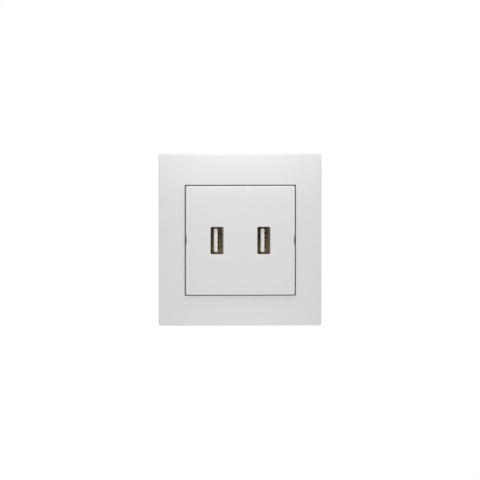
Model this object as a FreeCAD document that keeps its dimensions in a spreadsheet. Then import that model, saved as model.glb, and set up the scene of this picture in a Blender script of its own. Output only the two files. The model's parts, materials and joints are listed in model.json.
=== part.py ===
import FreeCAD, Part
import Sketcher
import math
import os
import re
from FreeCAD import Placement, Rotation, Vector

# A flush wall socket with a two port USB charger insert.
# X runs to the right, Z up, and Y back into the wall. The wall surface is Y = 0.
# A level is a distance in front of the wall, a depth is a distance behind it.

os.makedirs("parts", exist_ok=True)

SIZES = {
    # Cover frame
    "frame_wide": 80.0,
    "frame_high": 84.6,
    "frame_front": 9.6,
    "frame_drop": 2.0,
    "frame_run": 21.0,
    "frame_wall": 1.9,
    "frame_corner": 0.9,
    "frame_edge": 0.5,
    "frame_opening": 54.6,
    "ledge_reach": 1.6,
    "opening_corner": 0.8,
    "opening_edge": 0.35,
    "collar_wall": 1.4,
    "collar_sink": 1.2,
    "ledge_front": 3.0,
    "rib_spread": 18.0,
    "rib_wall": 1.2,
    "rib_back": 1.6,
    "rib_front": 7.3,
    "head_room": 4.1,
    "head_room_high": 7.2,
    "head_room_front": 3.2,
    # Steel mounting strap
    "strap_thick": 1.2,
    "strap_wide": 71.0,
    "strap_corner": 8.0,
    "strap_cut_corner": 3.2,
    "strap_gap": 0.3,
    "lug_gap": 0.45,
    "lug_wide": 3.15,
    "fixing_span": 60.0,
    "fixing_wide": 3.8,
    "fixing_long": 7.0,
    "corner_span": 54.0,
    "corner_radius": 1.6,
    "lug_near": 6.8,
    "lug_wall": 1.2,
    "lug_depth": 5.8,
    # Centre plate
    "plate_gap": 0.4,
    "plate_front": 11.2,
    "plate_drop": 0.4,
    "plate_margin": 5.0,
    "plate_corner": 0.7,
    "field_corner": 4.0,
    "plate_edge": 0.5,
    "plate_thick": 1.8,
    "skirt_wall": 1.4,
    "port_spread": 23.0,
    "cut_wide": 6.3,
    "cut_high": 13.4,
    "cut_corner": 0.5,
    "cut_bevel": 0.4,
    "pry_radius": 8.5,
    "pry_deep": 0.55,
    "pry_back": 7.4,
    "hook_side": 9.0,
    "hook_out": 17.4,
    "hook_wide": 6.0,
    "hook_thick": 1.4,
    "hook_catch": 0.9,
    "hook_depth": 0.6,
    # Charger module case
    "flange_lip": 1.5,
    "flange_corner": 2.5,
    "case_wide": 42.0,
    "case_high": 44.0,
    "case_corner": 3.0,
    "case_wall": 1.6,
    "case_split": 6.4,
    "case_back": 24.0,
    "sleeve_front": 8.8,
    "sleeve_wall": 0.9,
    "sleeve_gap": 0.1,
    "post_radius": 2.4,
    "post_inset": 4.5,
    "pilot_radius": 1.05,
    "nose_side": 14.0,
    "nose_wide": 6.0,
    "nose_out": 1.3,
    "nose_depth": 2.2,
    "boss_radius": 3.3,
    "spigot_radius": 2.6,
    "deep_bore": 2.1,
    "deep_floor": 8.4,
    "stud_bore": 1.15,
    "guide_radius": 3.9,
    "guide_bore": 2.8,
    "guide_start": 18.5,
    "guide_stop": 20.6,
    "driver_bore": 2.0,
    "wire_bore": 1.7,
    "wire_depth": 8.8,
    "vent_wide": 1.2,
    "vent_high": 10.0,
    "vent_pitch": 3.2,
    "vent_up": 4.0,
    # USB ports
    "shell_wide": 5.72,
    "shell_high": 13.1,
    "shell_wall": 0.3,
    "shell_front": 10.4,
    "shell_corner": 0.9,
    "window_up": 3.9,
    "window_high": 2.8,
    "finger_high": 2.0,
    "window_front": 8.6,
    "window_back": 2.4,
    "finger_in": 0.42,
    "leg_wide": 2.0,
    "leg_depth": 5.5,
    "tongue_gap": 1.1,
    "tongue_thick": 1.84,
    "tongue_high": 11.6,
    "tongue_front": 9.5,
    "tongue_round": 0.6,
    "base_front": 0.4,
    "contact_wide": 1.2,
    "contact_thick": 0.25,
    "contact_near": 1.0,
    "contact_far": 3.5,
    "contact_rise": 0.85,
    "groove_deep": 0.28,
    # Circuit board and what stands on it
    "board_gap": 0.4,
    "board_front": 4.0,
    "board_thick": 1.6,
    "board_corner": 1.5,
    "lead_radius": 0.35,
    "lead_hole": 0.5,
    "lead_front": 4.1,
    "core_clear": 13.0,
    "core_half": 7.0,
    "core_thick": 5.0,
    "core_leg": 4.0,
    "core_side": 2.1,
    "core_back": 2.0,
    "core_up": 4.0,
    "core_depth": 12.6,
    "bobbin_wall": 0.8,
    "core_gap": 0.2,
    "bobbin_deep": 13.2,
    "bobbin_flange": 1.0,
    "bobbin_long": 9.8,
    "rail_inset": 0.5,
    "pin_inset": 1.5,
    "rail_thick": 3.4,
    "rail_top": 9.6,
    "winding_inset": 0.4,
    "winding_deep": 11.8,
    "choke_gap": 1.2,
    "choke_waist": 0.5,
    "choke_lead": 1.7,
    # Mains terminals
    "terminal_gap": 0.6,
    "terminal_inset": 6.5,
    "bar_below": 4.1,
    "bar_above": 5.5,
    "bar_wide": 5.2,
    "bar_depth": 10.4,
    "bar_thick": 1.0,
    "bar_pin": 1.6,
    "cage_wide": 7.2,
    "cage_side": 0.8,
    "cage_start": 6.0,
    "cage_floor": 1.2,
    "cage_roof": 1.4,
    "cage_end": 15.8,
    "cage_high": 6.0,
    "thread_radius": 1.5,
    "thread_hole": 1.55,
    "clamp_head": 2.5,
    "clamp_seat": 18.6,
    "clamp_top": 20.4,
    # Spreading claws
    "hinge_gap": 1.9,
    "screw_lever": 3.8,
    "hinge_depth": 4.0,
    "pin_radius": 0.75,
    "pin_hole": 0.8,
    "pin_head": 1.3,
    "pin_half": 8.05,
    "pin_rivet": 0.5,
    "claw_half": 6.5,
    "claw_thick": 1.2,
    "claw_foot": 6.3,
    "claw_long": 16.0,
    "knuckle_radius": 1.5,
    "slot_start": 1.7,
    "slot_half": 1.9,
    "fork_half": 4.0,
    "ridge_radius": 1.0,
    "ear_wall": 0.7,
    "ear_top": 3.4,
    "tooth_long": 1.4,
    "tooth_out": 1.2,
    "screw_hole": 1.6,
    "screw_head": 2.8,
    "screw_cap": 1.5,
    "screw_end": 14.0,
    "nut_wide": 4.4,
    "nut_high": 7.2,
    "nut_thick": 2.4,
    "nut_gap": 0.05,
}

STRAP_CUT_WIDE = "(case_wide + 2 * strap_gap)"
STRAP_CUT_HIGH = "(case_high + 2 * strap_gap)"
FLANGE_WIDE = "(case_wide + 2 * flange_lip)"
FLANGE_HIGH = "(case_high + 2 * flange_lip)"
HINGE_SIDE = "(case_wide / 2 + hinge_gap)"
SCREW_SIDE = "(case_wide / 2 + hinge_gap + screw_lever)"
LUG_START = "(case_wide / 2 + lug_gap)"
LUG_END = "(case_wide / 2 + lug_gap + lug_wide)"
POST_SIDE = "(case_wide / 2 - post_inset)"
POST_UP = "(case_high / 2 - post_inset)"
BOARD_WIDE = "(case_wide - 2 * case_wall - 2 * board_gap)"
BOARD_HIGH = "(case_high - 2 * case_wall - 2 * board_gap)"
BOARD_BACK = "(board_front + board_thick)"
CORE_WIDE = "(case_wide - 2 * core_clear)"
BOBBIN_WIDE = f"({CORE_WIDE} - 2 * core_side - 2 * core_gap)"
WINDING_WIDE = f"({BOBBIN_WIDE} - 2 * winding_inset)"
RAIL_WIDE = f"({CORE_WIDE} - 2 * rail_inset)"
PIN_PITCH = f"(({RAIL_WIDE} / 2 - pin_inset) / 1.5)"
TERMINAL_SIDE = f"({POST_SIDE} - boss_radius - terminal_gap - cage_wide / 2)"
CHOKE_RADIUS = f"({TERMINAL_SIDE} - cage_wide / 2 - choke_gap)"
TERMINAL_UP = "(case_high / 2 - terminal_inset)"
BAR_LOW = "(case_high / 2 - terminal_inset + bar_below)"
BAR_HIGH = "(case_high / 2 - terminal_inset - bar_above)"
LEDGE_OPENING = "(frame_opening - 2 * ledge_reach)"
PLATE_WIDE = "(frame_opening - 2 * plate_gap)"
COLLAR_FRONT = "(frame_front - collar_sink)"

doc = FreeCAD.newDocument("WallSocket")
sheet = doc.addObject("Spreadsheet::Sheet", "Sizes")
for row, (alias, size) in enumerate(SIZES.items(), start=1):
    sheet.set(f"A{row}", alias)
    sheet.set(f"B{row}", str(size))
    sheet.setAlias(f"B{row}", alias)
doc.recompute()

NAME = re.compile(r"\b[a-z]+(?:_[a-z]+)+\b")
PIECES = []


def sized(text):
    """Point every size name in an expression at the sheet."""
    return NAME.sub(r"Sizes.\g<0>", text)


def value(text):
    """Work out an expression with the sheet's present sizes."""
    found = sheet.evalExpression(sized(text))
    return float(getattr(found, "Value", found))


def bind(thing, field, text):
    """Let a property follow an expression over the sizes."""
    thing.setExpression(field, sized(text))


def origin_plane(body, role):
    """Find one of the body's own three planes."""
    return next(f for f in body.Origin.OriginFeatures if f.Role == role)


class Drawing:
    """A sketch whose corners and radii follow size expressions."""

    def __init__(self, body, name, role, level="0"):
        self.sketch = body.newObject("Sketcher::SketchObject", name)
        self.sketch.AttachmentSupport = [(origin_plane(body, role), "")]
        self.sketch.MapMode = "FlatFace"
        if level != "0":
            self.sketch.AttachmentOffset = Placement(Vector(0, 0, value(level)), Rotation())
            bind(self.sketch, "AttachmentOffset.Base.z", level)

    def follow(self, constraint, text):
        """Add a dimension and bind it."""
        index = self.sketch.addConstraint(constraint)
        self.sketch.setExpression(f"Constraints[{index}]", sized(text))

    def pin(self, edge, end, across, up):
        """Hold one point of an edge at a place measured from the origin."""
        if across == "0":
            self.sketch.addConstraint(Sketcher.Constraint("PointOnObject", edge, end, -2))
        else:
            far = Sketcher.Constraint("DistanceX", -1, 1, edge, end, value(across))
            self.follow(far, across)
        if up == "0":
            self.sketch.addConstraint(Sketcher.Constraint("PointOnObject", edge, end, -1))
        else:
            high = Sketcher.Constraint("DistanceY", -1, 1, edge, end, value(up))
            self.follow(high, up)

    def join(self, first, first_end, second, second_end, smooth=False):
        """Join two edges at their ends, smoothly where asked."""
        kind = "Tangent" if smooth else "Coincident"
        self.sketch.addConstraint(
            Sketcher.Constraint(kind, first, first_end, second, second_end))

    def polygon(self, corners):
        """Draw a closed outline through corners given as expression pairs."""
        points = [Vector(value(across), value(up), 0) for across, up in corners]
        base = self.sketch.GeometryCount
        count = len(points)
        for i in range(count):
            line = Part.LineSegment(points[i], points[(i + 1) % count])
            self.sketch.addGeometry(line, False)
        for i in range(count):
            self.join(base + i, 2, base + (i + 1) % count, 1)
        for i, (across, up) in enumerate(corners):
            self.pin(base + i, 1, across, up)
        return self

    def rectangle(self, left, right, low, high):
        """Draw a plain rectangle."""
        return self.polygon([(left, low), (right, low), (right, high), (left, high)])

    def block(self, wide, high):
        """Draw a rectangle about the origin."""
        return self.rectangle(f"-({wide}) / 2", f"({wide}) / 2", f"-({high}) / 2", f"({high}) / 2")

    def rounded(self, left, right, low, high, radius):
        """Draw a rectangle with four round corners."""
        inner_left = f"{left} + ({radius})"
        inner_right = f"{right} - ({radius})"
        inner_low = f"{low} + ({radius})"
        inner_high = f"{high} - ({radius})"
        sides = [
            ((inner_left, low), (inner_right, low)),
            ((right, inner_low), (right, inner_high)),
            ((inner_right, high), (inner_left, high)),
            ((left, inner_high), (left, inner_low)),
        ]
        centres = [
            (inner_right, inner_low),
            (inner_right, inner_high),
            (inner_left, inner_high),
            (inner_left, inner_low),
        ]
        base = self.sketch.GeometryCount
        size = value(radius)
        for i in range(4):
            start, end = (Vector(value(a), value(b), 0) for a, b in sides[i])
            self.sketch.addGeometry(Part.LineSegment(start, end), False)
            middle = Vector(value(centres[i][0]), value(centres[i][1]), 0)
            turn = math.radians(-90 + 90 * i)
            ring = Part.Circle(middle, Vector(0, 0, 1), size)
            self.sketch.addGeometry(Part.ArcOfCircle(ring, turn, turn + math.pi / 2), False)
        for i in range(4):
            line = base + 2 * i
            following = base + (2 * i + 2) % 8
            self.join(line, 2, line + 1, 1)
            self.join(line + 1, 2, following, 1)
            self.pin(line, 1, *sides[i][0])
            self.pin(line, 2, *sides[i][1])
            self.follow(Sketcher.Constraint("Radius", line + 1, size), radius)
        return self

    def rounded_block(self, wide, high, radius):
        """Draw a round cornered rectangle about the origin."""
        half_wide = f"({wide}) / 2"
        half_high = f"({high}) / 2"
        return self.rounded(f"-{half_wide}", half_wide, f"-{half_high}", half_high, radius)

    def circle(self, across, up, radius):
        """Draw a circle."""
        middle = Vector(value(across), value(up), 0)
        ring = Part.Circle(middle, Vector(0, 0, 1), value(radius))
        index = self.sketch.addGeometry(ring, False)
        self.follow(Sketcher.Constraint("Radius", index, value(radius)), radius)
        self.pin(index, 3, across, up)
        return self


class Piece:
    """One named solid of the socket, built feature by feature."""

    def __init__(self, label, across="0", deep="0", up="0"):
        self.body = doc.addObject("PartDesign::Body", label)
        self.body.Label = label
        for field, text in (("x", across), ("y", deep), ("z", up)):
            if text != "0":
                bind(self.body, f"Placement.Base.{field}", text)
        PIECES.append(self.body)

    def face_on(self, name, level="0"):
        """Start a drawing seen from the front, at a level before the wall."""
        return Drawing(self.body, name, "XZ_Plane", level)

    def from_above(self, name, up="0"):
        """Start a drawing seen from above, at a height."""
        return Drawing(self.body, name, "XY_Plane", up)

    def from_side(self, name, across="0"):
        """Start a drawing seen from the side, at a place across."""
        return Drawing(self.body, name, "YZ_Plane", across)

    def pad(self, name, drawing, length, both=False):
        """Add material out of a drawing."""
        feature = self.body.newObject("PartDesign::Pad", name)
        feature.Profile = drawing.sketch
        feature.Midplane = both
        bind(feature, "Length", length)
        self.body.Tip = feature
        return feature

    def pocket(self, name, drawing, length, both=False):
        """Take material away behind a drawing."""
        feature = self.body.newObject("PartDesign::Pocket", name)
        feature.Profile = drawing.sketch
        feature.Midplane = both
        bind(feature, "Length", length)
        self.body.Tip = feature
        return feature

    def revolve(self, name, drawing, axis="V_Axis"):
        """Turn a drawing once around an axis of its own."""
        feature = self.body.newObject("PartDesign::Revolution", name)
        feature.Profile = drawing.sketch
        feature.ReferenceAxis = (drawing.sketch, [axis])
        feature.Angle = 360
        self.body.Tip = feature
        return feature

    def edges(self, accept):
        """Name the edges of the last feature that pass a test."""
        doc.recompute()
        shape = self.body.Tip.Shape
        return [f"Edge{i}" for i, edge in enumerate(shape.Edges, start=1) if accept(edge)]

    def round_edges(self, name, accept, radius):
        """Round the edges that pass a test."""
        chosen = self.edges(accept)
        base = self.body.Tip
        feature = self.body.newObject("PartDesign::Fillet", name)
        feature.Base = (base, chosen)
        bind(feature, "Radius", radius)
        self.body.Tip = feature
        return feature

    def bevel_edges(self, name, accept, size):
        """Bevel the edges that pass a test."""
        chosen = self.edges(accept)
        base = self.body.Tip
        feature = self.body.newObject("PartDesign::Chamfer", name)
        feature.Base = (base, chosen)
        bind(feature, "Size", size)
        self.body.Tip = feature
        return feature


def near(a, b, slack=0.01):
    """Say whether two lengths agree."""
    return abs(a - b) < slack


def rim_share(edge, wide, high):
    """How far out an edge lies, as a share of an outline's half width or height."""
    middle = edge.CenterOfMass
    return max(2 * abs(middle.x) / value(wide), 2 * abs(middle.z) / value(high))


def along_depth(edge):
    """Say whether an edge runs straight front to back."""
    box = edge.BoundBox
    return box.XLength < 1e-4 and box.ZLength < 1e-4 and box.YLength > 1e-3


def sweep(piece, kind, name, profile, spine):
    """Carry a profile along a spine without turning it."""
    feature = piece.body.newObject(kind, name)
    feature.Profile = profile.sketch
    feature.Spine = (spine.sketch, [])
    feature.Mode = "Fixed"
    piece.body.Tip = feature
    return feature


def bow_radius():
    """Radius of the frame's side bows."""
    run, drop = value("frame_run"), value("frame_drop")
    return (run * run + drop * drop) / (2 * drop)


def bowed_profile(piece, name, half, front, back, low):
    """Draw the section across the frame: flat middle and two falling bows."""
    drawing = piece.from_above(name, low)
    edge_y = f"-({front} - frame_drop)"
    crest = f"{half} - frame_run"
    corners = [
        (f"-({half})", back), (f"-({half})", edge_y), (f"-({crest})", f"-({front})"),
        (crest, f"-({front})"), (half, edge_y), (half, back),
    ]
    points = [Vector(value(a), value(b), 0) for a, b in corners]
    radius = bow_radius()
    sweep_angle = math.asin(value("frame_run") / radius)
    down = -math.pi / 2
    left_ring = Part.Circle(points[2] + Vector(0, radius, 0), Vector(0, 0, 1), radius)
    right_ring = Part.Circle(points[3] + Vector(0, radius, 0), Vector(0, 0, 1), radius)
    sketch = drawing.sketch
    sketch.addGeometry(Part.LineSegment(points[0], points[1]), False)
    sketch.addGeometry(Part.ArcOfCircle(left_ring, down - sweep_angle, down), False)
    sketch.addGeometry(Part.LineSegment(points[2], points[3]), False)
    sketch.addGeometry(Part.ArcOfCircle(right_ring, down, down + sweep_angle), False)
    sketch.addGeometry(Part.LineSegment(points[4], points[5]), False)
    sketch.addGeometry(Part.LineSegment(points[5], points[0]), False)
    for line, corner in ((0, 0), (2, 2), (4, 4)):
        drawing.pin(line, 1, *corners[corner])
        drawing.pin(line, 2, *corners[corner + 1])
    drawing.join(0, 2, 1, 1)
    drawing.join(1, 2, 2, 1, smooth=True)
    drawing.join(2, 2, 3, 1, smooth=True)
    drawing.join(3, 2, 4, 1)
    drawing.join(4, 2, 5, 1)
    drawing.join(5, 2, 0, 1)
    return drawing


def bowed_spine(piece, name, half):
    """Draw the path up the frame, bowed like the section across."""
    drawing = piece.from_side(name)
    crest = f"{half} - frame_run"
    low = Vector(0, -value(half), 0)
    turn_low = Vector(-value("frame_drop"), -value(crest), 0)
    turn_high = Vector(-value("frame_drop"), value(crest), 0)
    radius = bow_radius()
    sweep_angle = math.asin(value("frame_run") / radius)
    low_ring = Part.Circle(turn_low + Vector(radius, 0, 0), Vector(0, 0, 1), radius)
    high_ring = Part.Circle(turn_high + Vector(radius, 0, 0), Vector(0, 0, 1), radius)
    sketch = drawing.sketch
    sketch.addGeometry(Part.ArcOfCircle(low_ring, math.pi, math.pi + sweep_angle), False)
    sketch.addGeometry(Part.LineSegment(turn_low, turn_high), False)
    sketch.addGeometry(Part.ArcOfCircle(high_ring, math.pi - sweep_angle, math.pi), False)
    drawing.pin(1, 1, "-frame_drop", f"-({crest})")
    drawing.pin(1, 2, "-frame_drop", crest)
    drawing.pin(0, 2, "0", f"-({half})")
    drawing.pin(2, 1, "0", half)
    drawing.join(1, 1, 0, 1, smooth=True)
    drawing.join(1, 2, 2, 2, smooth=True)
    return drawing


def build_cover_frame():
    """Domed square cover: hollow shell, collar, ledge for the plate, ribs."""
    piece = Piece("cover_frame")
    half_wide = "frame_wide / 2"
    half_high = "frame_high / 2"
    outer = bowed_profile(piece, "OuterSection", half_wide, "frame_front - frame_drop",
                          "frame_drop + 1", "-frame_high / 2")
    path = bowed_spine(piece, "OuterPath", half_high)
    doc.recompute()
    sweep(piece, "PartDesign::AdditivePipe", "Blank", outer, path)
    doc.recompute()
    inner = bowed_profile(piece, "InnerSection", f"{half_wide} - frame_wall",
                          "frame_front - frame_wall - frame_drop", "frame_drop + 2",
                          "-(frame_high / 2 - frame_wall)")
    inner_path = bowed_spine(piece, "InnerPath", f"{half_high} - frame_wall")
    doc.recompute()
    sweep(piece, "PartDesign::SubtractivePipe", "Hollow", inner, inner_path)
    back = piece.face_on("BackPlane").block("frame_wide + 20", "frame_high + 20")
    piece.pocket("BackTrim", back, "frame_drop + 3")
    opening = piece.face_on("Opening", "frame_front + 1").block("frame_opening", "frame_opening")
    piece.pocket("OpeningCut", opening, "frame_front + 1")
    collar = piece.face_on("Collar", "strap_thick")
    collar.block("frame_opening + 2 * collar_wall", "frame_opening + 2 * collar_wall")
    collar.block("frame_opening", "frame_opening")
    piece.pad("CollarWall", collar, f"{COLLAR_FRONT} - strap_thick")
    ledge = piece.face_on("Ledge", "strap_thick")
    ledge.block("frame_opening + collar_wall", "frame_opening + collar_wall")
    ledge.block(LEDGE_OPENING, LEDGE_OPENING)
    piece.pad("LedgeRing", ledge, "ledge_front - strap_thick")
    ribs = piece.face_on("Ribs", "rib_back")
    root = "frame_opening / 2 + collar_wall - 0.2"
    for side in ("-", ""):
        for place in ("-", ""):
            near_edge = f"{place}(rib_spread - {place}rib_wall / 2)"
            far_edge = f"{place}(rib_spread + {place}rib_wall / 2)"
            left, right = sorted((near_edge, far_edge), key=value)
            low, high = sorted((f"{side}({root})", f"{side}({half_high} - frame_wall + 0.3)"),
                               key=value)
            ribs.rectangle(left, right, low, high)
            low, high = sorted((f"{side}({root})", f"{side}({half_wide} - frame_wall + 0.3)"),
                               key=value)
            ribs.rectangle(low, high, left, right)
    piece.pad("RibWalls", ribs, "rib_front - rib_back")
    room = piece.face_on("HeadRoom", "head_room_front")
    for side in ("-", ""):
        room.rectangle(f"{side}{SCREW_SIDE} - head_room", f"{side}{SCREW_SIDE} + head_room",
                       "-head_room_high / 2", "head_room_high / 2")
    piece.pocket("HeadRoomCut", room, "head_room_front")
    reach_x, reach_z = value(half_wide), value(half_high)
    piece.round_edges("OuterCorners", lambda e: along_depth(e)
                      and near(abs(e.CenterOfMass.x), reach_x)
                      and near(abs(e.CenterOfMass.z), reach_z), "frame_corner")
    mouth = value("frame_opening") / 2
    piece.round_edges("OpeningCorners", lambda e: along_depth(e)
                      and near(abs(e.CenterOfMass.x), mouth)
                      and near(abs(e.CenterOfMass.z), mouth)
                      and e.BoundBox.YMax < -value("ledge_front") + 0.1, "opening_corner")
    piece.round_edges("FrontEdge", lambda e: e.BoundBox.YLength < 3
                      and e.BoundBox.YMax < -4.5
                      and max(abs(e.CenterOfMass.x) / reach_x,
                              abs(e.CenterOfMass.z) / reach_z) > 0.97, "frame_edge")
    rim = mouth + 0.05

    def on_mouth_rim(edge):
        box = edge.BoundBox
        inside = max(abs(box.XMin), abs(box.XMax), abs(box.ZMin), abs(box.ZMax)) < rim
        return inside and box.YMax < -value(COLLAR_FRONT) - 0.1 and not along_depth(edge)

    piece.round_edges("OpeningEdge", on_mouth_rim, "opening_edge")


def build_mounting_strap():
    """Flat steel strap with screw slots and the claws' bearing lugs."""
    piece = Piece("mounting_strap")
    outline = piece.face_on("Outline")
    outline.rounded_block("strap_wide", "strap_wide", "strap_corner")
    outline.rounded_block(STRAP_CUT_WIDE, STRAP_CUT_HIGH, "strap_cut_corner")
    piece.pad("Sheet", outline, "strap_thick")
    slots = piece.face_on("Slots", "strap_thick")
    for side in ("-", ""):
        low, high = sorted((f"{side}(fixing_span / 2 - fixing_long / 2)",
                            f"{side}(fixing_span / 2 + fixing_long / 2)"), key=value)
        slots.rounded("-fixing_wide / 2", "fixing_wide / 2", low, high,
                      "(fixing_wide / 2 - 0.01)")
        for other in ("-", ""):
            slots.circle(f"{side}corner_span / 2", f"{other}corner_span / 2", "corner_radius")
        slots.circle(f"{side}{SCREW_SIDE}", "0", "screw_hole")
    piece.pocket("SlotCuts", slots, "strap_thick")
    lugs = piece.face_on("Lugs", "-lug_depth")
    for side in ("-", ""):
        left, right = sorted((f"{side}{LUG_START}", f"{side}{LUG_END}"), key=value)
        for other in ("-", ""):
            low, high = sorted((f"{other}lug_near", f"{other}(lug_near + lug_wall)"), key=value)
            lugs.rectangle(left, right, low, high)
    piece.pad("LugWalls", lugs, "lug_depth + 0.3")
    eyes = piece.from_above("Eyes")
    for side in ("-", ""):
        eyes.circle(f"{side}{HINGE_SIDE}", "hinge_depth", "pin_hole")
    piece.pocket("EyeBores", eyes, "2 * (lug_near + lug_wall) + 4", both=True)
    far = value("lug_depth")
    piece.round_edges("LugTips", lambda e: near(e.BoundBox.YMin, far)
                      and near(e.BoundBox.YMax, far)
                      and near(e.BoundBox.ZLength, value("lug_wall")), "1.2")
    piece.bevel_edges("FrontRim", lambda e: near(e.BoundBox.YMin, -value("strap_thick"))
                      and near(e.BoundBox.YMax, -value("strap_thick"))
                      and rim_share(e, "strap_wide", "strap_wide") > 0.93, "0.2")


def build_centre_plate():
    """Square plate with sloping margins, port cut-outs, skirt and four hooks."""
    piece = Piece("centre_plate")
    side_level = "plate_front - plate_drop"
    slab_level = f"{side_level} - plate_thick"
    slab = piece.face_on("Slab", slab_level)
    slab.rounded_block(PLATE_WIDE, PLATE_WIDE, "plate_corner")
    piece.pad("SlabBody", slab, "plate_thick")
    foot = piece.face_on("MarginFoot", side_level)
    foot.rounded_block(PLATE_WIDE, PLATE_WIDE, "plate_corner")
    field = piece.face_on("Field", "plate_front")
    field.rounded_block(f"{PLATE_WIDE} - 2 * plate_margin", f"{PLATE_WIDE} - 2 * plate_margin",
                        "field_corner")
    doc.recompute()
    rise = piece.body.newObject("PartDesign::AdditiveLoft", "Margins")
    rise.Profile = foot.sketch
    rise.Sections = [(field.sketch, [""])]
    rise.Ruled = True
    piece.body.Tip = rise
    skirt = piece.face_on("Skirt", "ledge_front")
    skirt.rounded_block(PLATE_WIDE, PLATE_WIDE, "plate_corner")
    skirt.block(f"{PLATE_WIDE} - 2 * skirt_wall", f"{PLATE_WIDE} - 2 * skirt_wall")
    piece.pad("SkirtWall", skirt, f"{slab_level} - ledge_front")
    for side, word in (("-", "Left"), ("", "Right")):
        cut = piece.face_on(f"Cut{word}", "plate_front + 1")
        cut.rounded(f"{side}port_spread / 2 - cut_wide / 2", f"{side}port_spread / 2 + cut_wide / 2",
                    "-cut_high / 2", "cut_high / 2", "cut_corner")
        piece.pocket(f"CutOut{word}", cut, "plate_drop + plate_thick + 2")
        pry = piece.face_on(f"Pry{word}", "plate_front + 1")
        pry.circle(f"{side}({PLATE_WIDE} / 2 - pry_deep + pry_radius)", "0", "pry_radius")
        piece.pocket(f"PryNotch{word}", pry, "plate_front + 1 - pry_back")
    legs = piece.face_on("HookLegs", "-hook_depth")
    for side in ("-", ""):
        for other in ("-", ""):
            low, high = sorted((f"{other}(hook_out - hook_thick / 2)",
                                f"{other}(hook_out + hook_thick / 2)"), key=value)
            legs.rectangle(f"{side}hook_side - hook_wide / 2", f"{side}hook_side + hook_wide / 2",
                           low, high)
    piece.pad("HookWalls", legs, f"{slab_level} + hook_depth + 0.2")
    for side, word in (("-", "Left"), ("", "Right")):
        for other, place in (("-", "Low"), ("", "High")):
            barb = piece.from_side(f"Barb{word}{place}", f"{side}hook_side")
            root = f"{other}(hook_out + hook_thick / 2 - 0.1)"
            tip = f"{other}(hook_out + hook_thick / 2 + hook_catch)"
            catch = "-(ledge_front - case_wall) + 0.05"
            barb.polygon([("hook_depth", root), (catch, root), (catch, tip),
                          (f"{catch} + 0.3", tip)])
            piece.pad(f"BarbNose{word}{place}", barb, "hook_wide", both=True)
    edge_y = -value(side_level)
    piece.round_edges("FrontEdge", lambda e: near(e.BoundBox.YMin, edge_y)
                      and near(e.BoundBox.YMax, edge_y)
                      and rim_share(e, PLATE_WIDE, PLATE_WIDE) > 0.974, "plate_edge")
    face_y = -value("plate_front")
    piece.bevel_edges("CutBevel", lambda e: near(e.BoundBox.YMin, face_y)
                      and near(e.BoundBox.YMax, face_y)
                      and rim_share(e, "port_spread + cut_wide", "cut_high") < 1.01,
                      "cut_bevel")


def port_rectangle(drawing, side, grow, radius):
    """Draw a round cornered mouth around one port."""
    drawing.rounded(f"{side}port_spread / 2 - (shell_wide / 2 + {grow})",
                    f"{side}port_spread / 2 + (shell_wide / 2 + {grow})",
                    f"-(shell_high / 2 + {grow})", f"shell_high / 2 + {grow}", radius)


def build_module_front():
    """Front half of the charger case: flange, tray, port sleeves, board posts."""
    piece = Piece("module_front")
    tray = piece.face_on("Tray", "-case_split")
    tray.rounded_block("case_wide", "case_high", "case_corner")
    piece.pad("TrayBody", tray, "case_split + strap_thick + 0.3")
    flange = piece.face_on("Flange", "strap_thick")
    flange.rounded_block(FLANGE_WIDE, FLANGE_HIGH, "flange_corner")
    piece.pad("FlangePlate", flange, "ledge_front - strap_thick")
    room = piece.face_on("TrayRoom", "ledge_front - case_wall")
    room.rounded_block("case_wide - 2 * case_wall", "case_high - 2 * case_wall",
                       "case_corner - case_wall")
    piece.pocket("TrayHollow", room, "case_split + ledge_front")
    sleeves = piece.face_on("Sleeves", "ledge_front - 0.2")
    for side in ("-", ""):
        port_rectangle(sleeves, side, "sleeve_gap + sleeve_wall", "1.4")
    piece.pad("SleeveBodies", sleeves, "sleeve_front - ledge_front + 0.2")
    mouths = piece.face_on("Mouths", "sleeve_front + 1")
    for side in ("-", ""):
        port_rectangle(mouths, side, "sleeve_gap", "0.9")
    piece.pocket("MouthCuts", mouths, "sleeve_front + 2")
    catches = piece.face_on("Catches", "ledge_front + 0.5")
    for side in ("-", ""):
        for other in ("-", ""):
            low, high = sorted((f"{other}(hook_out - hook_thick / 2 - 0.8)",
                                f"{other}(hook_out + hook_thick / 2 + 0.3)"), key=value)
            catches.rectangle(f"{side}hook_side - hook_wide / 2 - 0.3",
                              f"{side}hook_side + hook_wide / 2 + 0.3", low, high)
    piece.pocket("CatchSlots", catches, "case_wall + 0.6")
    posts = piece.face_on("Posts", "-board_front")
    for side in ("-", ""):
        for other in ("-", ""):
            posts.circle(f"{side}{POST_SIDE}", f"{other}{POST_UP}", "post_radius")
    piece.pad("PostBodies", posts, "board_front + ledge_front - case_wall + 0.3")
    pilots = piece.face_on("Pilots", "0")
    pilots.circle(f"-{POST_SIDE}", POST_UP, "pilot_radius")
    pilots.circle(POST_SIDE, f"-{POST_UP}", "pilot_radius")
    piece.pocket("PilotBores", pilots, "board_front + 0.5")
    for side, word in (("-", "Left"), ("", "Right")):
        for other, place in (("-", "Low"), ("", "High")):
            nose = piece.from_side(f"Nose{word}{place}", f"{side}nose_side")
            wall = f"{other}(case_high / 2 - 0.2)"
            tip = f"{other}(case_high / 2 + nose_out)"
            nose.polygon([("0.05", wall), ("0.05", tip), ("0.45", tip), ("nose_depth", wall)])
            piece.pad(f"NoseWedge{word}{place}", nose, "nose_wide", both=True)
    front = -value("ledge_front")
    piece.round_edges("FlangeEdge", lambda e: near(e.BoundBox.YMin, front)
                      and near(e.BoundBox.YMax, front)
                      and rim_share(e, FLANGE_WIDE, FLANGE_HIGH) > 0.95, "0.4")


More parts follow.
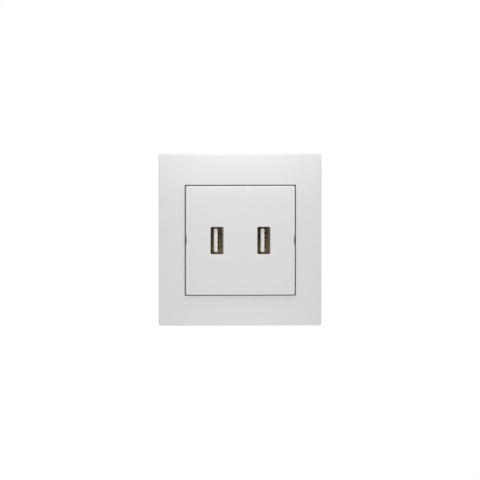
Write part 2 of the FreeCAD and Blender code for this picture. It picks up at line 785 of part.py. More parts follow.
def build_module_rear():
    """Rear cup of the charger case with screw bosses and terminal guides."""
    piece = Piece("module_rear")
    cup = piece.face_on("Cup", "-case_back")
    cup.rounded_block("case_wide", "case_high", "case_corner")
    piece.pad("CupBody", cup, "case_back - case_split")
    room = piece.face_on("CupRoom", "-case_split")
    room.rounded_block("case_wide - 2 * case_wall", "case_high - 2 * case_wall",
                       "case_corner - case_wall")
    piece.pocket("CupHollow", room, "case_back - case_split - case_wall")
    bosses = piece.face_on("Bosses", "-(case_back - 0.5)")
    bosses.circle(f"-{POST_SIDE}", POST_UP, "boss_radius")
    bosses.circle(POST_SIDE, f"-{POST_UP}", "boss_radius")
    piece.pad("BossBodies", bosses, "case_back - 0.5 - case_split")
    spigots = piece.face_on("Spigots", "-(case_back - 0.5)")
    for side in ("-", ""):
        for other in ("-", ""):
            spigots.circle(f"{side}{POST_SIDE}", f"{other}{POST_UP}",
                           "spigot_radius" if side != other else "1.6")
    piece.pad("SpigotBodies", spigots, "case_back - 0.5 - board_front - board_thick")
    guides = piece.face_on("Guides", "-(case_back - 0.5)")
    for side in ("-", ""):
        guides.circle(f"{side}{TERMINAL_SIDE}", f"-{TERMINAL_UP}", "guide_radius")
    piece.pad("GuideTubes", guides, "case_back - 0.5 - guide_start")
    bores = piece.face_on("GuideBores", "-guide_start")
    for side in ("-", ""):
        bores.circle(f"{side}{TERMINAL_SIDE}", f"-{TERMINAL_UP}", "guide_bore")
    piece.pocket("GuideBoreCuts", bores, "guide_stop - guide_start")
    drivers = piece.face_on("DriverHoles", "-(guide_stop - 0.5)")
    for side in ("-", ""):
        drivers.circle(f"{side}{TERMINAL_SIDE}", f"-{TERMINAL_UP}", "driver_bore")
    piece.pocket("DriverCuts", drivers, "case_back - guide_stop + 1")
    deep = piece.face_on("DeepBores", "-deep_floor")
    deep.circle(f"-{POST_SIDE}", POST_UP, "deep_bore")
    deep.circle(POST_SIDE, f"-{POST_UP}", "deep_bore")
    piece.pocket("DeepCuts", deep, "case_back - deep_floor + 1")
    studs = piece.face_on("StudBores", "-board_front")
    studs.circle(f"-{POST_SIDE}", POST_UP, "stud_bore")
    studs.circle(POST_SIDE, f"-{POST_UP}", "stud_bore")
    piece.pocket("StudCuts", studs, "deep_floor - board_front + 0.5")
    wires = piece.from_above("WireHoles", "-(case_high / 2 - case_wall - 1)")
    for side in ("-", ""):
        wires.circle(f"{side}{TERMINAL_SIDE}", "wire_depth", "wire_bore")
    piece.pocket("WireCuts", wires, "case_wall + 2")
    vents = piece.face_on("Vents", "-(case_back - case_wall - 0.5)")
    for step in (-2, -1, 0, 1, 2):
        vents.rounded(f"{step} * vent_pitch - vent_wide / 2", f"{step} * vent_pitch + vent_wide / 2",
                      "vent_up - vent_high / 2", "vent_up + vent_high / 2", "0.55")
    piece.pocket("VentSlots", vents, "case_wall + 1")
    back = value("case_back")
    piece.round_edges("BackEdge", lambda e: near(e.BoundBox.YMin, back)
                      and near(e.BoundBox.YMax, back)
                      and rim_share(e, "case_wide", "case_high") > 0.9, "0.8")


def build_usb_shell(word, side):
    """Folded metal shell of one port with four spring fingers and four legs."""
    piece = Piece(f"usb_shell_{word}", across=f"{side}port_spread / 2")
    tube = piece.face_on("Tube", "-board_front")
    tube.rounded_block("shell_wide", "shell_high", "shell_corner")
    tube.rounded_block("shell_wide - 2 * shell_wall", "shell_high - 2 * shell_wall",
                       "shell_corner - shell_wall")
    piece.pad("TubeWall", tube, "board_front + shell_front")
    windows = piece.from_side("Windows", "0")
    for other in ("-", ""):
        windows.rectangle("-window_front", "-window_back", f"{other}window_up - window_high / 2",
                          f"{other}window_up + window_high / 2")
    piece.pocket("WindowCuts", windows, "shell_wide + 2", both=True)
    wall = "shell_wide / 2"
    for flip, name in (("-", "Left"), ("", "Right")):
        for other, place in (("-", "Low"), ("", "High")):
            finger = piece.from_above(f"Finger{name}{place}", f"{other}window_up")
            path = [
                (f"{wall}", "-window_back + 0.1"),
                (f"{wall} - finger_in", "-window_front + 1.2"),
                (f"{wall} - 0.02", "-window_front + 0.25"),
                (f"{wall} - 0.02 - shell_wall", "-window_front + 0.1"),
                (f"{wall} - finger_in - shell_wall", "-window_front + 1.2"),
                (f"{wall} - shell_wall", "-window_back + 0.1"),
            ]
            finger.polygon([(f"{flip}({across})", deep) for across, deep in path])
            piece.pad(f"FingerLeaf{name}{place}", finger, "finger_high", both=True)
    legs = piece.face_on("Legs", "-leg_depth")
    for other in ("-", ""):
        low, high = sorted((f"{other}(shell_high / 2 - shell_wall)", f"{other}shell_high / 2"),
                           key=value)
        legs.rectangle("-leg_wide / 2", "leg_wide / 2", low, high)
    piece.pad("LegBlades", legs, "leg_depth - board_front + 0.5")
    front = -value("shell_front")
    piece.bevel_edges("Mouth", lambda e: near(e.BoundBox.YMin, front)
                      and near(e.BoundBox.YMax, front)
                      and rim_share(e, "shell_wide - 2 * shell_wall",
                                    "shell_high - 2 * shell_wall") < 1.02, "0.12")


def contact_heights():
    """Heights of the four contacts of a port."""
    return ("-contact_far", "-contact_near", "contact_near", "contact_far")


def build_usb_insulator(word, side):
    """Moulded block that fills the shell's back and carries the tongue."""
    piece = Piece(f"usb_insulator_{word}", across=f"{side}port_spread / 2")
    inner_wide = "shell_wide - 2 * shell_wall - 0.1"
    inner_high = "shell_high - 2 * shell_wall - 0.1"
    block = piece.face_on("Block", "-board_front")
    block.rounded_block(inner_wide, inner_high, "0.5")
    piece.pad("BlockBody", block, "board_front + base_front")
    tongue_left = "-(shell_wide / 2 - shell_wall) + tongue_gap"
    tongue = piece.face_on("Tongue", "0")
    tongue.rounded(tongue_left, f"{tongue_left} + tongue_thick", "-tongue_high / 2",
                   "tongue_high / 2", "tongue_round")
    piece.pad("TongueBlade", tongue, "tongue_front")
    grooves = piece.face_on("Grooves", "tongue_front - 0.5")
    for up in contact_heights():
        grooves.rectangle(f"{tongue_left} + tongue_thick - groove_deep",
                          f"{tongue_left} + tongue_thick + 0.02",
                          f"{up} - contact_wide / 2 - 0.06", f"{up} + contact_wide / 2 + 0.06")
    piece.pocket("GrooveCuts", grooves, "tongue_front + board_front")
    front = -value("tongue_front")
    piece.bevel_edges("TongueTip", lambda e: near(e.BoundBox.YMin, front)
                      and near(e.BoundBox.YMax, front), "0.3")


def build_usb_contact(word, side, number, up):
    """Gold plated spring strip with a raised bow and a pin through the board."""
    face = "-(shell_wide / 2 - shell_wall) + tongue_gap + tongue_thick"
    piece = Piece(f"usb_contact_{word}_{number}", across=f"{side}port_spread / 2 + {face}", up=up)
    strip = piece.from_above("Strip")
    skin = "-0.01"
    floor = "-0.01 - contact_thick"
    strip.polygon([
        (skin, "leg_depth"), (skin, "-tongue_front + 5.0"),
        (f"{skin} + contact_rise", "-tongue_front + 3.0"),
        (f"{skin} + contact_rise", "-tongue_front + 2.1"),
        (skin, "-tongue_front + 0.75"), (floor, "-tongue_front + 0.65"),
        (f"{floor} + contact_rise", "-tongue_front + 2.15"),
        (f"{floor} + contact_rise", "-tongue_front + 2.95"),
        (floor, "-tongue_front + 4.9"), (floor, "leg_depth"),
    ])
    piece.pad("StripBody", strip, "contact_wide", both=True)
    trims = piece.face_on("PinTrims", "-(board_front - 0.4)")
    for other in ("-", ""):
        low, high = sorted((f"{other}contact_wide * 0.3", f"{other}contact_wide"), key=value)
        trims.rectangle("-1", "1", low, high)
    piece.pocket("PinNeck", trims, "leg_depth")


TRANSFORMER_PINS = [f"{share} * {PIN_PITCH}" for share in (-1.5, -0.5, 0.5, 1.5)]


class Leads:
    """Where round leads pass the board, kept while the components are built."""

    def __init__(self):
        self.places = []

    def add(self, piece, name, pairs, across, up, top):
        """Give a component its leads and remember their places on the board."""
        drawing = piece.face_on(name, f"-({top})")
        for dx, dz in pairs:
            drawing.circle(dx, dz, "lead_radius")
            self.places.append((f"{across} + ({dx})", f"{up} + ({dz})"))
        piece.pad(f"{name}Wires", drawing, f"{top} - lead_front")


LEADS = Leads()


def build_transformer():
    """Two E cores, the bobbin they embrace and its winding."""
    middle = f"{CORE_WIDE} / 2"
    for word, flip in (("upper", ""), ("lower", "-")):
        piece = Piece(f"transformer_core_{word}", deep="core_depth", up="core_up")
        drawing = piece.face_on("EShape", "-core_thick / 2")
        web = f"{flip}(core_half - core_back)"
        top = f"{flip}core_half"
        drawing.polygon([
            (f"-{middle}", "0"), (f"-{middle}", top), (middle, top), (middle, "0"),
            (f"{middle} - core_side", "0"), (f"{middle} - core_side", web),
            ("core_leg / 2", web), ("core_leg / 2", "0"), ("-core_leg / 2", "0"),
            ("-core_leg / 2", web), (f"-({middle} - core_side)", web),
            (f"-({middle} - core_side)", "0"),
        ])
        piece.pad("EBody", drawing, "core_thick")
        piece.round_edges("CoreEdges", lambda e: along_depth(e)
                          and near(abs(e.CenterOfMass.x), value(middle))
                          and near(abs(e.CenterOfMass.z), value("core_half")), "0.5")
    bobbin = Piece("transformer_bobbin", deep="core_depth", up="core_up")
    hole_wide = "core_leg + 0.3"
    hole_deep = "core_thick + 0.3"
    tube = bobbin.from_above("TubeSection", "-bobbin_long / 2")
    tube.block(f"{hole_wide} + 2 * bobbin_wall", f"{hole_deep} + 2 * bobbin_wall")
    tube.block(hole_wide, hole_deep)
    bobbin.pad("TubeWall", tube, "bobbin_long")
    for word, start in (("Low", "-bobbin_long / 2"), ("High", "bobbin_long / 2 - bobbin_flange")):
        flange = bobbin.from_above(f"Flange{word}", start)
        flange.rounded_block(BOBBIN_WIDE, "bobbin_deep", "1.0")
        flange.block(hole_wide, hole_deep)
        bobbin.pad(f"FlangePlate{word}", flange, "bobbin_flange")
    seat = f"{BOARD_BACK} - core_depth"
    for word, start in (("Low", "-bobbin_long / 2 - rail_thick"), ("High", "bobbin_long / 2 - 0.3")):
        rail = bobbin.from_above(f"Rail{word}", start)
        rail.rectangle(f"-{RAIL_WIDE} / 2", f"{RAIL_WIDE} / 2", seat, "rail_top - core_depth")
        bobbin.pad(f"RailBlock{word}", rail, "rail_thick + 0.3")
    pins = bobbin.face_on("Pins", "-(rail_top - 1 - core_depth)")
    for row in ("-", ""):
        for pin in TRANSFORMER_PINS:
            up = f"{row}(bobbin_long / 2 + rail_thick / 2)"
            pins.circle(pin, up, "lead_radius")
            LEADS.places.append((pin, f"core_up + {up}"))
    bobbin.pad("PinWires", pins, "rail_top - 1 - lead_front")
    winding = Piece("transformer_winding", deep="core_depth", up="core_up")
    coil = winding.from_above("Coil", "-bobbin_long / 2 + bobbin_flange")
    coil.rounded_block(WINDING_WIDE, "winding_deep", "1.8")
    coil.block(f"{hole_wide} + 2 * bobbin_wall", f"{hole_deep} + 2 * bobbin_wall")
    winding.pad("CoilBody", coil, "bobbin_long - 2 * bobbin_flange")


def build_capacitor(label, across, up, radius, height, pitch):
    """Round aluminium can with a crimped neck, a scored top and two leads."""
    piece = Piece(label, across=across, up=up)
    can = piece.from_above("CanSection")
    base = BOARD_BACK
    can.polygon([
        ("0", base), (f"{radius} - 0.3", base), (radius, f"{base} + 0.3"),
        (radius, f"{base} + 1.2"), (f"{radius} - 0.45", f"{base} + 1.6"),
        (f"{radius} - 0.45", f"{base} + 2.0"), (radius, f"{base} + 2.4"),
        (radius, f"{base} + {height} - 0.4"), (f"{radius} - 0.4", f"{base} + {height}"),
        ("0", f"{base} + {height}"),
    ])
    piece.revolve("Can", can)
    score = piece.face_on("Score", f"-({base} + {height} - 0.2)")
    score.block(f"1.2 * {radius}", "0.4")
    score_cross = piece.face_on("ScoreCross", f"-({base} + {height} - 0.2)")
    score_cross.block("0.4", f"1.2 * {radius}")
    piece.pocket("ScoreLine", score, "0.4")
    piece.pocket("ScoreCrossLine", score_cross, "0.4")
    half = f"{pitch} / 2"
    LEADS.add(piece, "Leads", [("0", f"-{half}"), ("0", half)], across, up, f"{base} + 1")


def build_round_fuse():
    """Round can fuse with two leads."""
    across, up = "-(case_wide / 2 - 8.2)", "-5.5"
    piece = Piece("input_fuse", across=across, up=up)
    body = piece.face_on("Body", f"-({BOARD_BACK} + 7.6)")
    body.circle("0", "0", "4.1")
    piece.pad("BodyCan", body, "7.6")
    top = value(f"{BOARD_BACK} + 7.6")
    piece.round_edges("TopEdge", lambda e: near(e.BoundBox.YMin, top)
                      and near(e.BoundBox.YMax, top), "0.6")
    LEADS.add(piece, "Leads", [("0", "-2.5"), ("0", "2.5")], across, up, f"{BOARD_BACK} + 1")


def build_choke():
    """Drum core choke: two flanges, a wound waist and two leads."""
    across, up = "0", "-(case_high / 2 - 8.4)"
    piece = Piece("filter_choke", up=up)
    drum = piece.from_above("DrumSection")
    base = BOARD_BACK
    rim, waist = CHOKE_RADIUS, f"{CHOKE_RADIUS} - choke_waist"
    drum.polygon([
        ("0", base), (rim, base), (rim, f"{base} + 1.2"), (waist, f"{base} + 1.3"),
        (waist, f"{base} + 7.7"), (rim, f"{base} + 7.8"), (rim, f"{base} + 9.0"),
        ("0", f"{base} + 9.0"),
    ])
    piece.revolve("Drum", drum)
    reach = f"({CHOKE_RADIUS} - choke_lead)"
    LEADS.add(piece, "Leads", [(f"-{reach}", "0"), (reach, "0")], across, up, f"{base} + 1")


def build_safety_capacitor():
    """Disc capacitor standing on edge, on two leads."""
    across, up = "case_wide / 2 - 8", "-4.5"
    piece = Piece("safety_capacitor", across=across, up=up)
    disc = piece.face_on("DiscSection")
    disc.polygon([("0", "-1.6"), ("2.4", "-1.6"), ("3.6", "-0.7"), ("3.6", "0.7"),
                  ("2.4", "1.6"), ("0", "1.6")])
    turned = piece.revolve("Disc", disc)
    piece.body.setExpression("Placement.Base.y", sized(f"{BOARD_BACK} + 5.0"))
    half = "2.5"
    leads = piece.face_on("Leads", "0")
    for side in ("-", ""):
        leads.circle(f"{side}{half}", "0", "lead_radius")
        LEADS.places.append((f"{across} + ({side}{half})", up))
    piece.pad("LeadWires", leads, f"{BOARD_BACK} + 5.0 - lead_front")
    return turned


def build_chip(label, across, up, wide, high, thick, pins, behind):
    """Flat moulded chip with legs along its two upright sides."""
    piece = Piece(label, across=across, up=up)
    gap = "0.15"
    if behind:
        body_level = f"-({BOARD_BACK} + {gap} + {thick})"
        leg_level = f"-({BOARD_BACK} + {thick} / 2)"
        foot_level = f"-({BOARD_BACK} + 0.2)"
    else:
        body_level = f"-(board_front - {gap})"
        leg_level = "-board_front"
        foot_level = "-board_front"
    body = piece.face_on("Body", body_level).block(wide, high)
    piece.pad("BodyBlock", body, thick)
    legs = piece.face_on("Legs", leg_level)
    feet = piece.face_on("Feet", foot_level)
    for k in range(pins):
        middle = f"({k} - ({pins} - 1) / 2) * 1.27"
        low = f"{middle} - 0.2"
        top = f"{middle} + 0.2"
        for side in ("-", ""):
            left, right = sorted((f"{side}({wide} / 2 - 0.1)", f"{side}({wide} / 2 + 0.35)"),
                                 key=value)
            legs.rectangle(left, right, low, top)
            left, right = sorted((f"{side}({wide} / 2 + 0.15)", f"{side}({wide} / 2 + 0.9)"),
                                 key=value)
            feet.rectangle(left, right, low, top)
    piece.pad("LegBlades", legs, f"{thick} / 2")
    piece.pad("FootBlades", feet, "0.2")


def build_chip_resistor(number, across, up):
    """Small ceramic resistor with two stepped end caps."""
    piece = Piece(f"chip_resistor_{number}", across=across, up=up)
    body = piece.face_on("Body", "-(board_front - 0.05)").block("1.8", "1.2")
    piece.pad("BodyBlock", body, "0.4")
    caps = piece.face_on("Caps", "-board_front")
    for side in ("-", ""):
        left, right = sorted((f"{side}0.65", f"{side}1.0"), key=value)
        caps.rectangle(left, right, "-0.62", "0.62")
    piece.pad("CapBlocks", caps, "0.52")


def build_circuit_board():
    """Board with holes for every pin, four screw holes and an isolation slot."""
    piece = Piece("circuit_board")
    board = piece.face_on("Board", f"-({BOARD_BACK})")
    board.rounded_block(BOARD_WIDE, BOARD_HIGH, "board_corner")
    piece.pad("BoardSheet", board, "board_thick")
    holes = piece.face_on("Holes", "-(board_front - 0.5)")
    for across, up in LEADS.places:
        holes.circle(across, up, "lead_hole")
    face = "-(shell_wide / 2 - shell_wall) + tongue_gap + tongue_thick"
    for side in ("-", ""):
        for up in contact_heights():
            holes.circle(f"{side}port_spread / 2 + {face} - 0.135", up, "lead_hole")
        for other in ("-", ""):
            low, high = sorted((f"{other}(shell_high / 2 - shell_wall - 0.15)",
                                f"{other}(shell_high / 2 + 0.15)"), key=value)
            holes.rectangle(f"{side}port_spread / 2 - leg_wide / 2 - 0.2",
                            f"{side}port_spread / 2 + leg_wide / 2 + 0.2", low, high)
        holes.rectangle(f"{side}{TERMINAL_SIDE} - bar_pin / 2 - 0.2",
                        f"{side}{TERMINAL_SIDE} + bar_pin / 2 + 0.2",
                        f"-{BAR_HIGH} - bar_thick - 0.2", f"-{BAR_HIGH} + 0.2")
    piece.pocket("HoleCuts", holes, "board_thick + 1")
    studs = piece.face_on("StudHoles", "-(board_front - 0.5)")
    studs.circle(f"-{POST_SIDE}", POST_UP, "1.2")
    studs.circle(POST_SIDE, f"-{POST_UP}", "1.2")
    studs.rectangle("7.0", "7.7", "-5", "1.5")
    piece.pocket("StudCuts", studs, "board_thick + 1")


def build_terminal(word, side):
    """One mains clamp: soldered bar, rising cage and its screw."""
    across = f"{side}{TERMINAL_SIDE}"
    bar = Piece(f"terminal_bar_{word}", across=across)
    strip = bar.from_side("Strip")
    strip.polygon([
        ("bar_depth", f"-{BAR_LOW}"), ("bar_depth + bar_thick", f"-{BAR_LOW}"),
        ("bar_depth + bar_thick", f"-{BAR_HIGH}"), (BOARD_BACK, f"-{BAR_HIGH}"),
        (BOARD_BACK, f"-({BAR_HIGH} + bar_thick)"), ("bar_depth", f"-({BAR_HIGH} + bar_thick)"),
    ])
    bar.pad("StripBody", strip, "bar_wide", both=True)
    pin = bar.face_on("Pin", f"-({BOARD_BACK} + 0.3)")
    pin.rectangle("-bar_pin / 2", "bar_pin / 2", f"-({BAR_HIGH} + bar_thick)", f"-{BAR_HIGH}")
    bar.pad("PinBlade", pin, f"{BOARD_BACK} + 0.3 - lead_front")
    cage = Piece(f"terminal_cage_{word}", across=across, up=f"-{TERMINAL_UP}")
    loop = cage.from_above("Loop", "-cage_high / 2")
    loop.rectangle("-cage_wide / 2", "cage_wide / 2", "cage_start", "cage_end")
    loop.rectangle("-(cage_wide / 2 - cage_side)", "cage_wide / 2 - cage_side",
                   "cage_start + cage_floor", "cage_end - cage_roof")
    cage.pad("LoopBody", loop, "cage_high")
    tap = cage.face_on("Tap", "-(cage_end - cage_roof - 0.5)").circle("0", "0", "thread_hole")
    cage.pocket("TapBore", tap, "cage_roof + 1")
    cage.round_edges("LoopEdges", lambda e: e.BoundBox.XLength < 1e-3
                     and e.BoundBox.YLength < 1e-3
                     and near(abs(e.CenterOfMass.x), value("cage_wide") / 2), "0.5")
    screw = Piece(f"terminal_screw_{word}", across=across, up=f"-{TERMINAL_UP}")
    tip = "bar_depth + bar_thick + 0.05"
    shaft = screw.from_above("ShaftSection")
    shaft.polygon([
        ("0", tip), ("thread_radius - 0.4", tip), ("thread_radius", f"{tip} + 0.4"),
        ("thread_radius", "clamp_seat"), ("clamp_head", "clamp_seat"),
        ("clamp_head", "clamp_top - 0.3"), ("clamp_head - 0.3", "clamp_top"),
        ("0", "clamp_top"),
    ])
    screw.revolve("Shaft", shaft)
    drive = screw.face_on("Drive", "-(clamp_top - 0.9)").block("3.6", "0.7")
    screw.pocket("DriveSlot", drive, "1.5")
    cross = screw.face_on("Cross", "-(clamp_top - 0.9)").block("0.7", "3.6")
    screw.pocket("CrossSlot", cross, "1.5")


def build_claw(word, side):
    """Spreading claw on its pin, with the screw and nut that pull its foot."""
    at_side = f"{side}{HINGE_SIDE}"
    claw = Piece(f"claw_{word}", across=at_side, deep="hinge_depth")
    half = "claw_thick / 2"
    bend = claw.from_above("Bend")
    corners = [
        (f"-{half}", f"-{half}"), ("claw_foot", f"-{half}"), ("claw_foot", half),
        (half, half), (half, "claw_long"), (f"-{half}", "claw_long"),
    ]
    bend.polygon([(f"{side}({across})", deep) for across, deep in corners])
    claw.pad("BendBody", bend, "2 * claw_half", both=True)
    fork = claw.from_side("Fork").rectangle(half, "claw_long + 0.2", "-fork_half", "fork_half")
    claw.pocket("ForkGap", fork, "4 * claw_thick", both=True)
    knuckle = claw.from_above("Knuckle").circle("0", "0", "knuckle_radius")
    claw.pad("KnuckleRoll", knuckle, "2 * claw_half", both=True)
    ridge = claw.from_above("Ridge")
    ridge.circle(f"{side}({SCREW_SIDE} - {HINGE_SIDE})", half, "ridge_radius")
    claw.pad("RidgeRoll", ridge, "2 * fork_half", both=True)
    ears = claw.face_on("Ears", "-ear_top")
    for other in ("-", ""):
        low, high = sorted((f"{other}(nut_high / 2 + 0.3)",
                            f"{other}(nut_high / 2 + 0.3 + ear_wall)"), key=value)
        left, right = sorted((f"{side}1.7", f"{side}claw_foot"), key=value)
        ears.rectangle(left, right, low, high)
    claw.pad("EarWalls", ears, "ear_top")
    slot = claw.face_on("FootSlot", "2")
    left, right = sorted((f"{side}slot_start", f"{side}(claw_foot + 0.2)"), key=value)
    slot.rectangle(left, right, "-slot_half", "slot_half")
    claw.pocket("FootSlotCut", slot, "4.5")
    bore = claw.from_above("PinBore").circle("0", "0", "pin_hole")
    claw.pocket("PinBoreCut", bore, "2 * claw_half + 2", both=True)
    for name, start in (("Low", "-claw_half"), ("High", "fork_half")):
        teeth = claw.from_above(f"Teeth{name}", start)
        saw = [(f"{side}({half} - 0.2)", "claw_long")]
        for step in range(3):
            saw.append((f"{side}({half} + tooth_out)", f"claw_long - {step} * tooth_long - 0.2"))
            saw.append((f"{side}{half}", f"claw_long - {step + 1} * tooth_long"))
        saw.append((f"{side}({half} - 0.2)", "claw_long - 3 * tooth_long"))
        teeth.polygon(saw)
        claw.pad(f"TeethRow{name}", teeth, "claw_half - fork_half")
    pin = Piece(f"claw_pin_{word}", across=at_side, deep="hinge_depth")
    rod = pin.from_above("Rod", "-pin_half").circle("0", "0", "pin_radius")
    pin.pad("RodBody", rod, "2 * pin_half")
    for name, start in (("Low", "-(pin_half + pin_rivet)"), ("High", "pin_half")):
        head = pin.from_above(f"Head{name}", start).circle("0", "0", "pin_head")
        pin.pad(f"HeadDisc{name}", head, "pin_rivet")
    screw = Piece(f"claw_screw_{word}", across=f"{side}{SCREW_SIDE}")
    section = screw.from_above("ScrewSection")
    section.polygon([
        ("0", "-(strap_thick + screw_cap)"), ("screw_head - 0.9", "-(strap_thick + screw_cap)"),
        ("screw_head", "-(strap_thick + 0.7)"), ("screw_head", "-strap_thick"),
        ("thread_radius", "-strap_thick"), ("thread_radius", "screw_end - 0.8"),
        ("thread_radius - 0.6", "screw_end"), ("0", "screw_end"),
    ])
    screw.revolve("ScrewBody", section)
    drive = screw.face_on("Drive", "strap_thick + screw_cap + 0.5").block("3.4", "0.7")
    screw.pocket("DriveSlot", drive, "1.5")
    cross = screw.face_on("Cross", "strap_thick + screw_cap + 0.5").block("0.7", "3.4")
    screw.pocket("CrossSlot", cross, "1.5")
    nut = Piece(f"claw_nut_{word}", across=f"{side}{SCREW_SIDE}", deep="hinge_depth")
    seat = f"{half} + ridge_radius + nut_gap"
    plate = nut.face_on("Plate", f"-({seat} + nut_thick)").block("nut_wide", "nut_high")
    nut.pad("PlateBody", plate, "nut_thick")
    tap = nut.face_on("Tap", "0").circle("0", "0", "thread_hole")
    nut.pocket("TapBore", tap, f"{seat} + nut_thick + 1")
    nut.bevel_edges("PlateEdges", lambda e: e.BoundBox.XLength < 1e-3
                    and e.BoundBox.ZLength < 1e-3, "0.4")


def build_module_screw(number, across, up):
    """Case screw sunk in its deep bore."""
    piece = Piece(f"module_screw_{number}", across=across, up=up)
    section = piece.from_above("ScrewSection")
    section.polygon([
        ("0", "0.4"), ("0.5", "0.4"), ("pilot_radius - 0.05", "1.0"),
        ("pilot_radius - 0.05", "deep_floor"), ("deep_bore - 0.3", "deep_floor"),
        ("deep_bore - 0.3", "deep_floor + 1.3"), ("deep_bore - 0.7", "deep_floor + 1.7"),
        ("0", "deep_floor + 1.7"),
    ])
    piece.revolve("ScrewBody", section)
    for name, wide, high in (("Drive", "2.2", "0.5"), ("Cross", "0.5", "2.2")):
        drive = piece.face_on(name, "-(deep_floor + 0.7)").block(wide, high)
        piece.pocket(f"{name}Slot", drive, "1.2")


build_cover_frame()
build_centre_plate()
build_mounting_strap()
build_module_front()
build_module_rear()
for port, sign in (("left", "-"), ("right", "")):
    build_usb_shell(port, sign)
    build_usb_insulator(port, sign)
    for order, height in enumerate(contact_heights(), start=1):
        build_usb_contact(port, sign, order, height)
    build_claw(port, sign)
for pole, sign in (("line", "-"), ("neutral", "")):
    build_terminal(pole, sign)
build_transformer()
build_capacitor("input_capacitor", "-(case_wide / 2 - 7.6)", "case_high / 2 - 12.6",
                "5.0", "13.0", "5.0")
build_capacitor("output_capacitor_1", "case_wide / 2 - 7.4", "case_high / 2 - 8.6",
                "3.15", "11.0", "2.5")
build_capacitor("output_capacitor_2", "case_wide / 2 - 7.4", "case_high / 2 - 15.2",
                "3.15", "11.0", "2.5")
build_round_fuse()
build_choke()
build_safety_capacitor()
build_chip("bridge_rectifier", "-(case_wide / 2 - 8)", "1", "4.0", "3.0", "2.3", 2, True)
build_chip("optocoupler", "case_wide / 2 - 10", "-1", "4.4", "3.6", "2.1", 2, True)
build_chip("control_chip", "0", "11", "3.9", "4.9", "1.5", 4, False)
build_chip("port_chip", "0", "-8", "3.9", "4.9", "1.5", 4, False)
build_chip_resistor(1, "0", "5.4")
build_chip_resistor(2, "0", "3.0")
build_chip_resistor(3, "0", "-2.4")
build_chip_resistor(4, "0", "-13.0")
build_module_screw(1, f"-{POST_SIDE}", POST_UP)
build_module_screw(2, POST_SIDE, f"-{POST_UP}")
build_circuit_board()
doc.recompute()

for body in PIECES:
    for feature in body.Group + [body]:
        if "Invalid" in feature.State or "Error" in feature.State:
            raise RuntimeError(f"{body.Label}: {feature.Name} did not build")
    if body.Shape.isNull() or not body.Shape.isValid() or not body.Shape.Solids:
        raise RuntimeError(f"{body.Label} has no sound solid")
    if len(body.Shape.Solids) != 1:
        raise RuntimeError(f"{body.Label} is in {len(body.Shape.Solids)} pieces")
    body.Shape.exportStep(f"parts/{body.Label}.step")
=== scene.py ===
import json
import logging
import math
from dataclasses import dataclass
from enum import Enum
from typing import Any, Callable, Mapping, Optional, Sequence, Union

import bmesh
import bpy
from mathutils import Matrix, Vector


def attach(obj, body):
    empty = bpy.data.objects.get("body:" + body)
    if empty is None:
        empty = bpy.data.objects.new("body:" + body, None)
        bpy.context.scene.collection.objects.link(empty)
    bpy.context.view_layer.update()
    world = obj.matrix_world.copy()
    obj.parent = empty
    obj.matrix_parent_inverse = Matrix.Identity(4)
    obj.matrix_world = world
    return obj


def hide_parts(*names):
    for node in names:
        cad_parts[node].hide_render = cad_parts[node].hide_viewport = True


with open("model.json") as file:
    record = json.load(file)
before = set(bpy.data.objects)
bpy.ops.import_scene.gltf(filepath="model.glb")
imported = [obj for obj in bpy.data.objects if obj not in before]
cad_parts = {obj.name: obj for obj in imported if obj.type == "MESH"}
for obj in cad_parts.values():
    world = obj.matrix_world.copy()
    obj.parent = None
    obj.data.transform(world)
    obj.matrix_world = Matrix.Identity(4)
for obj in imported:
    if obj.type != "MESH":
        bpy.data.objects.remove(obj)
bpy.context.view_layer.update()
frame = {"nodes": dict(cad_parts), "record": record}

LOG = logging.getLogger("wall_socket")
MM = 0.001
SAME = 1e-6  # metres within which two places count as one
BESIDE = 1e-5  # metres within which an edge stands at a corner
CUT_NEAR = 1e-8  # metres within which a vertex lies on a cut
CELL_MARGIN = 1.05  # least cell beside a rim, in walls, so that the wall can't fold
Colour = tuple[float, float, float]
Stretch = tuple[float, float, float]
Number = Union[float, "Sock"]
Tint = Union[Colour, "Sock"]
Test = Callable[[Vector], bool]


class Axis(Enum):
    """The three directions of the shared frame."""

    ACROSS = 0
    DEPTH = 1
    UP = 2

    @property
    def unit(self) -> Vector:
        """Unit vector of the direction."""
        return Vector([float(k == self.value) for k in range(3)])


class NamedPlace(Enum):
    """A place across that its nodes are named by."""

    @property
    def word(self) -> str:
        """The place's name as the nodes carry it."""
        return self.name.lower()


class Side(NamedPlace):
    """Left or right of the middle, seen from the front."""

    LEFT = -1
    RIGHT = 1


class Pole(NamedPlace):
    """The two mains clamps, by their place across."""

    LINE = -1
    NEUTRAL = 1


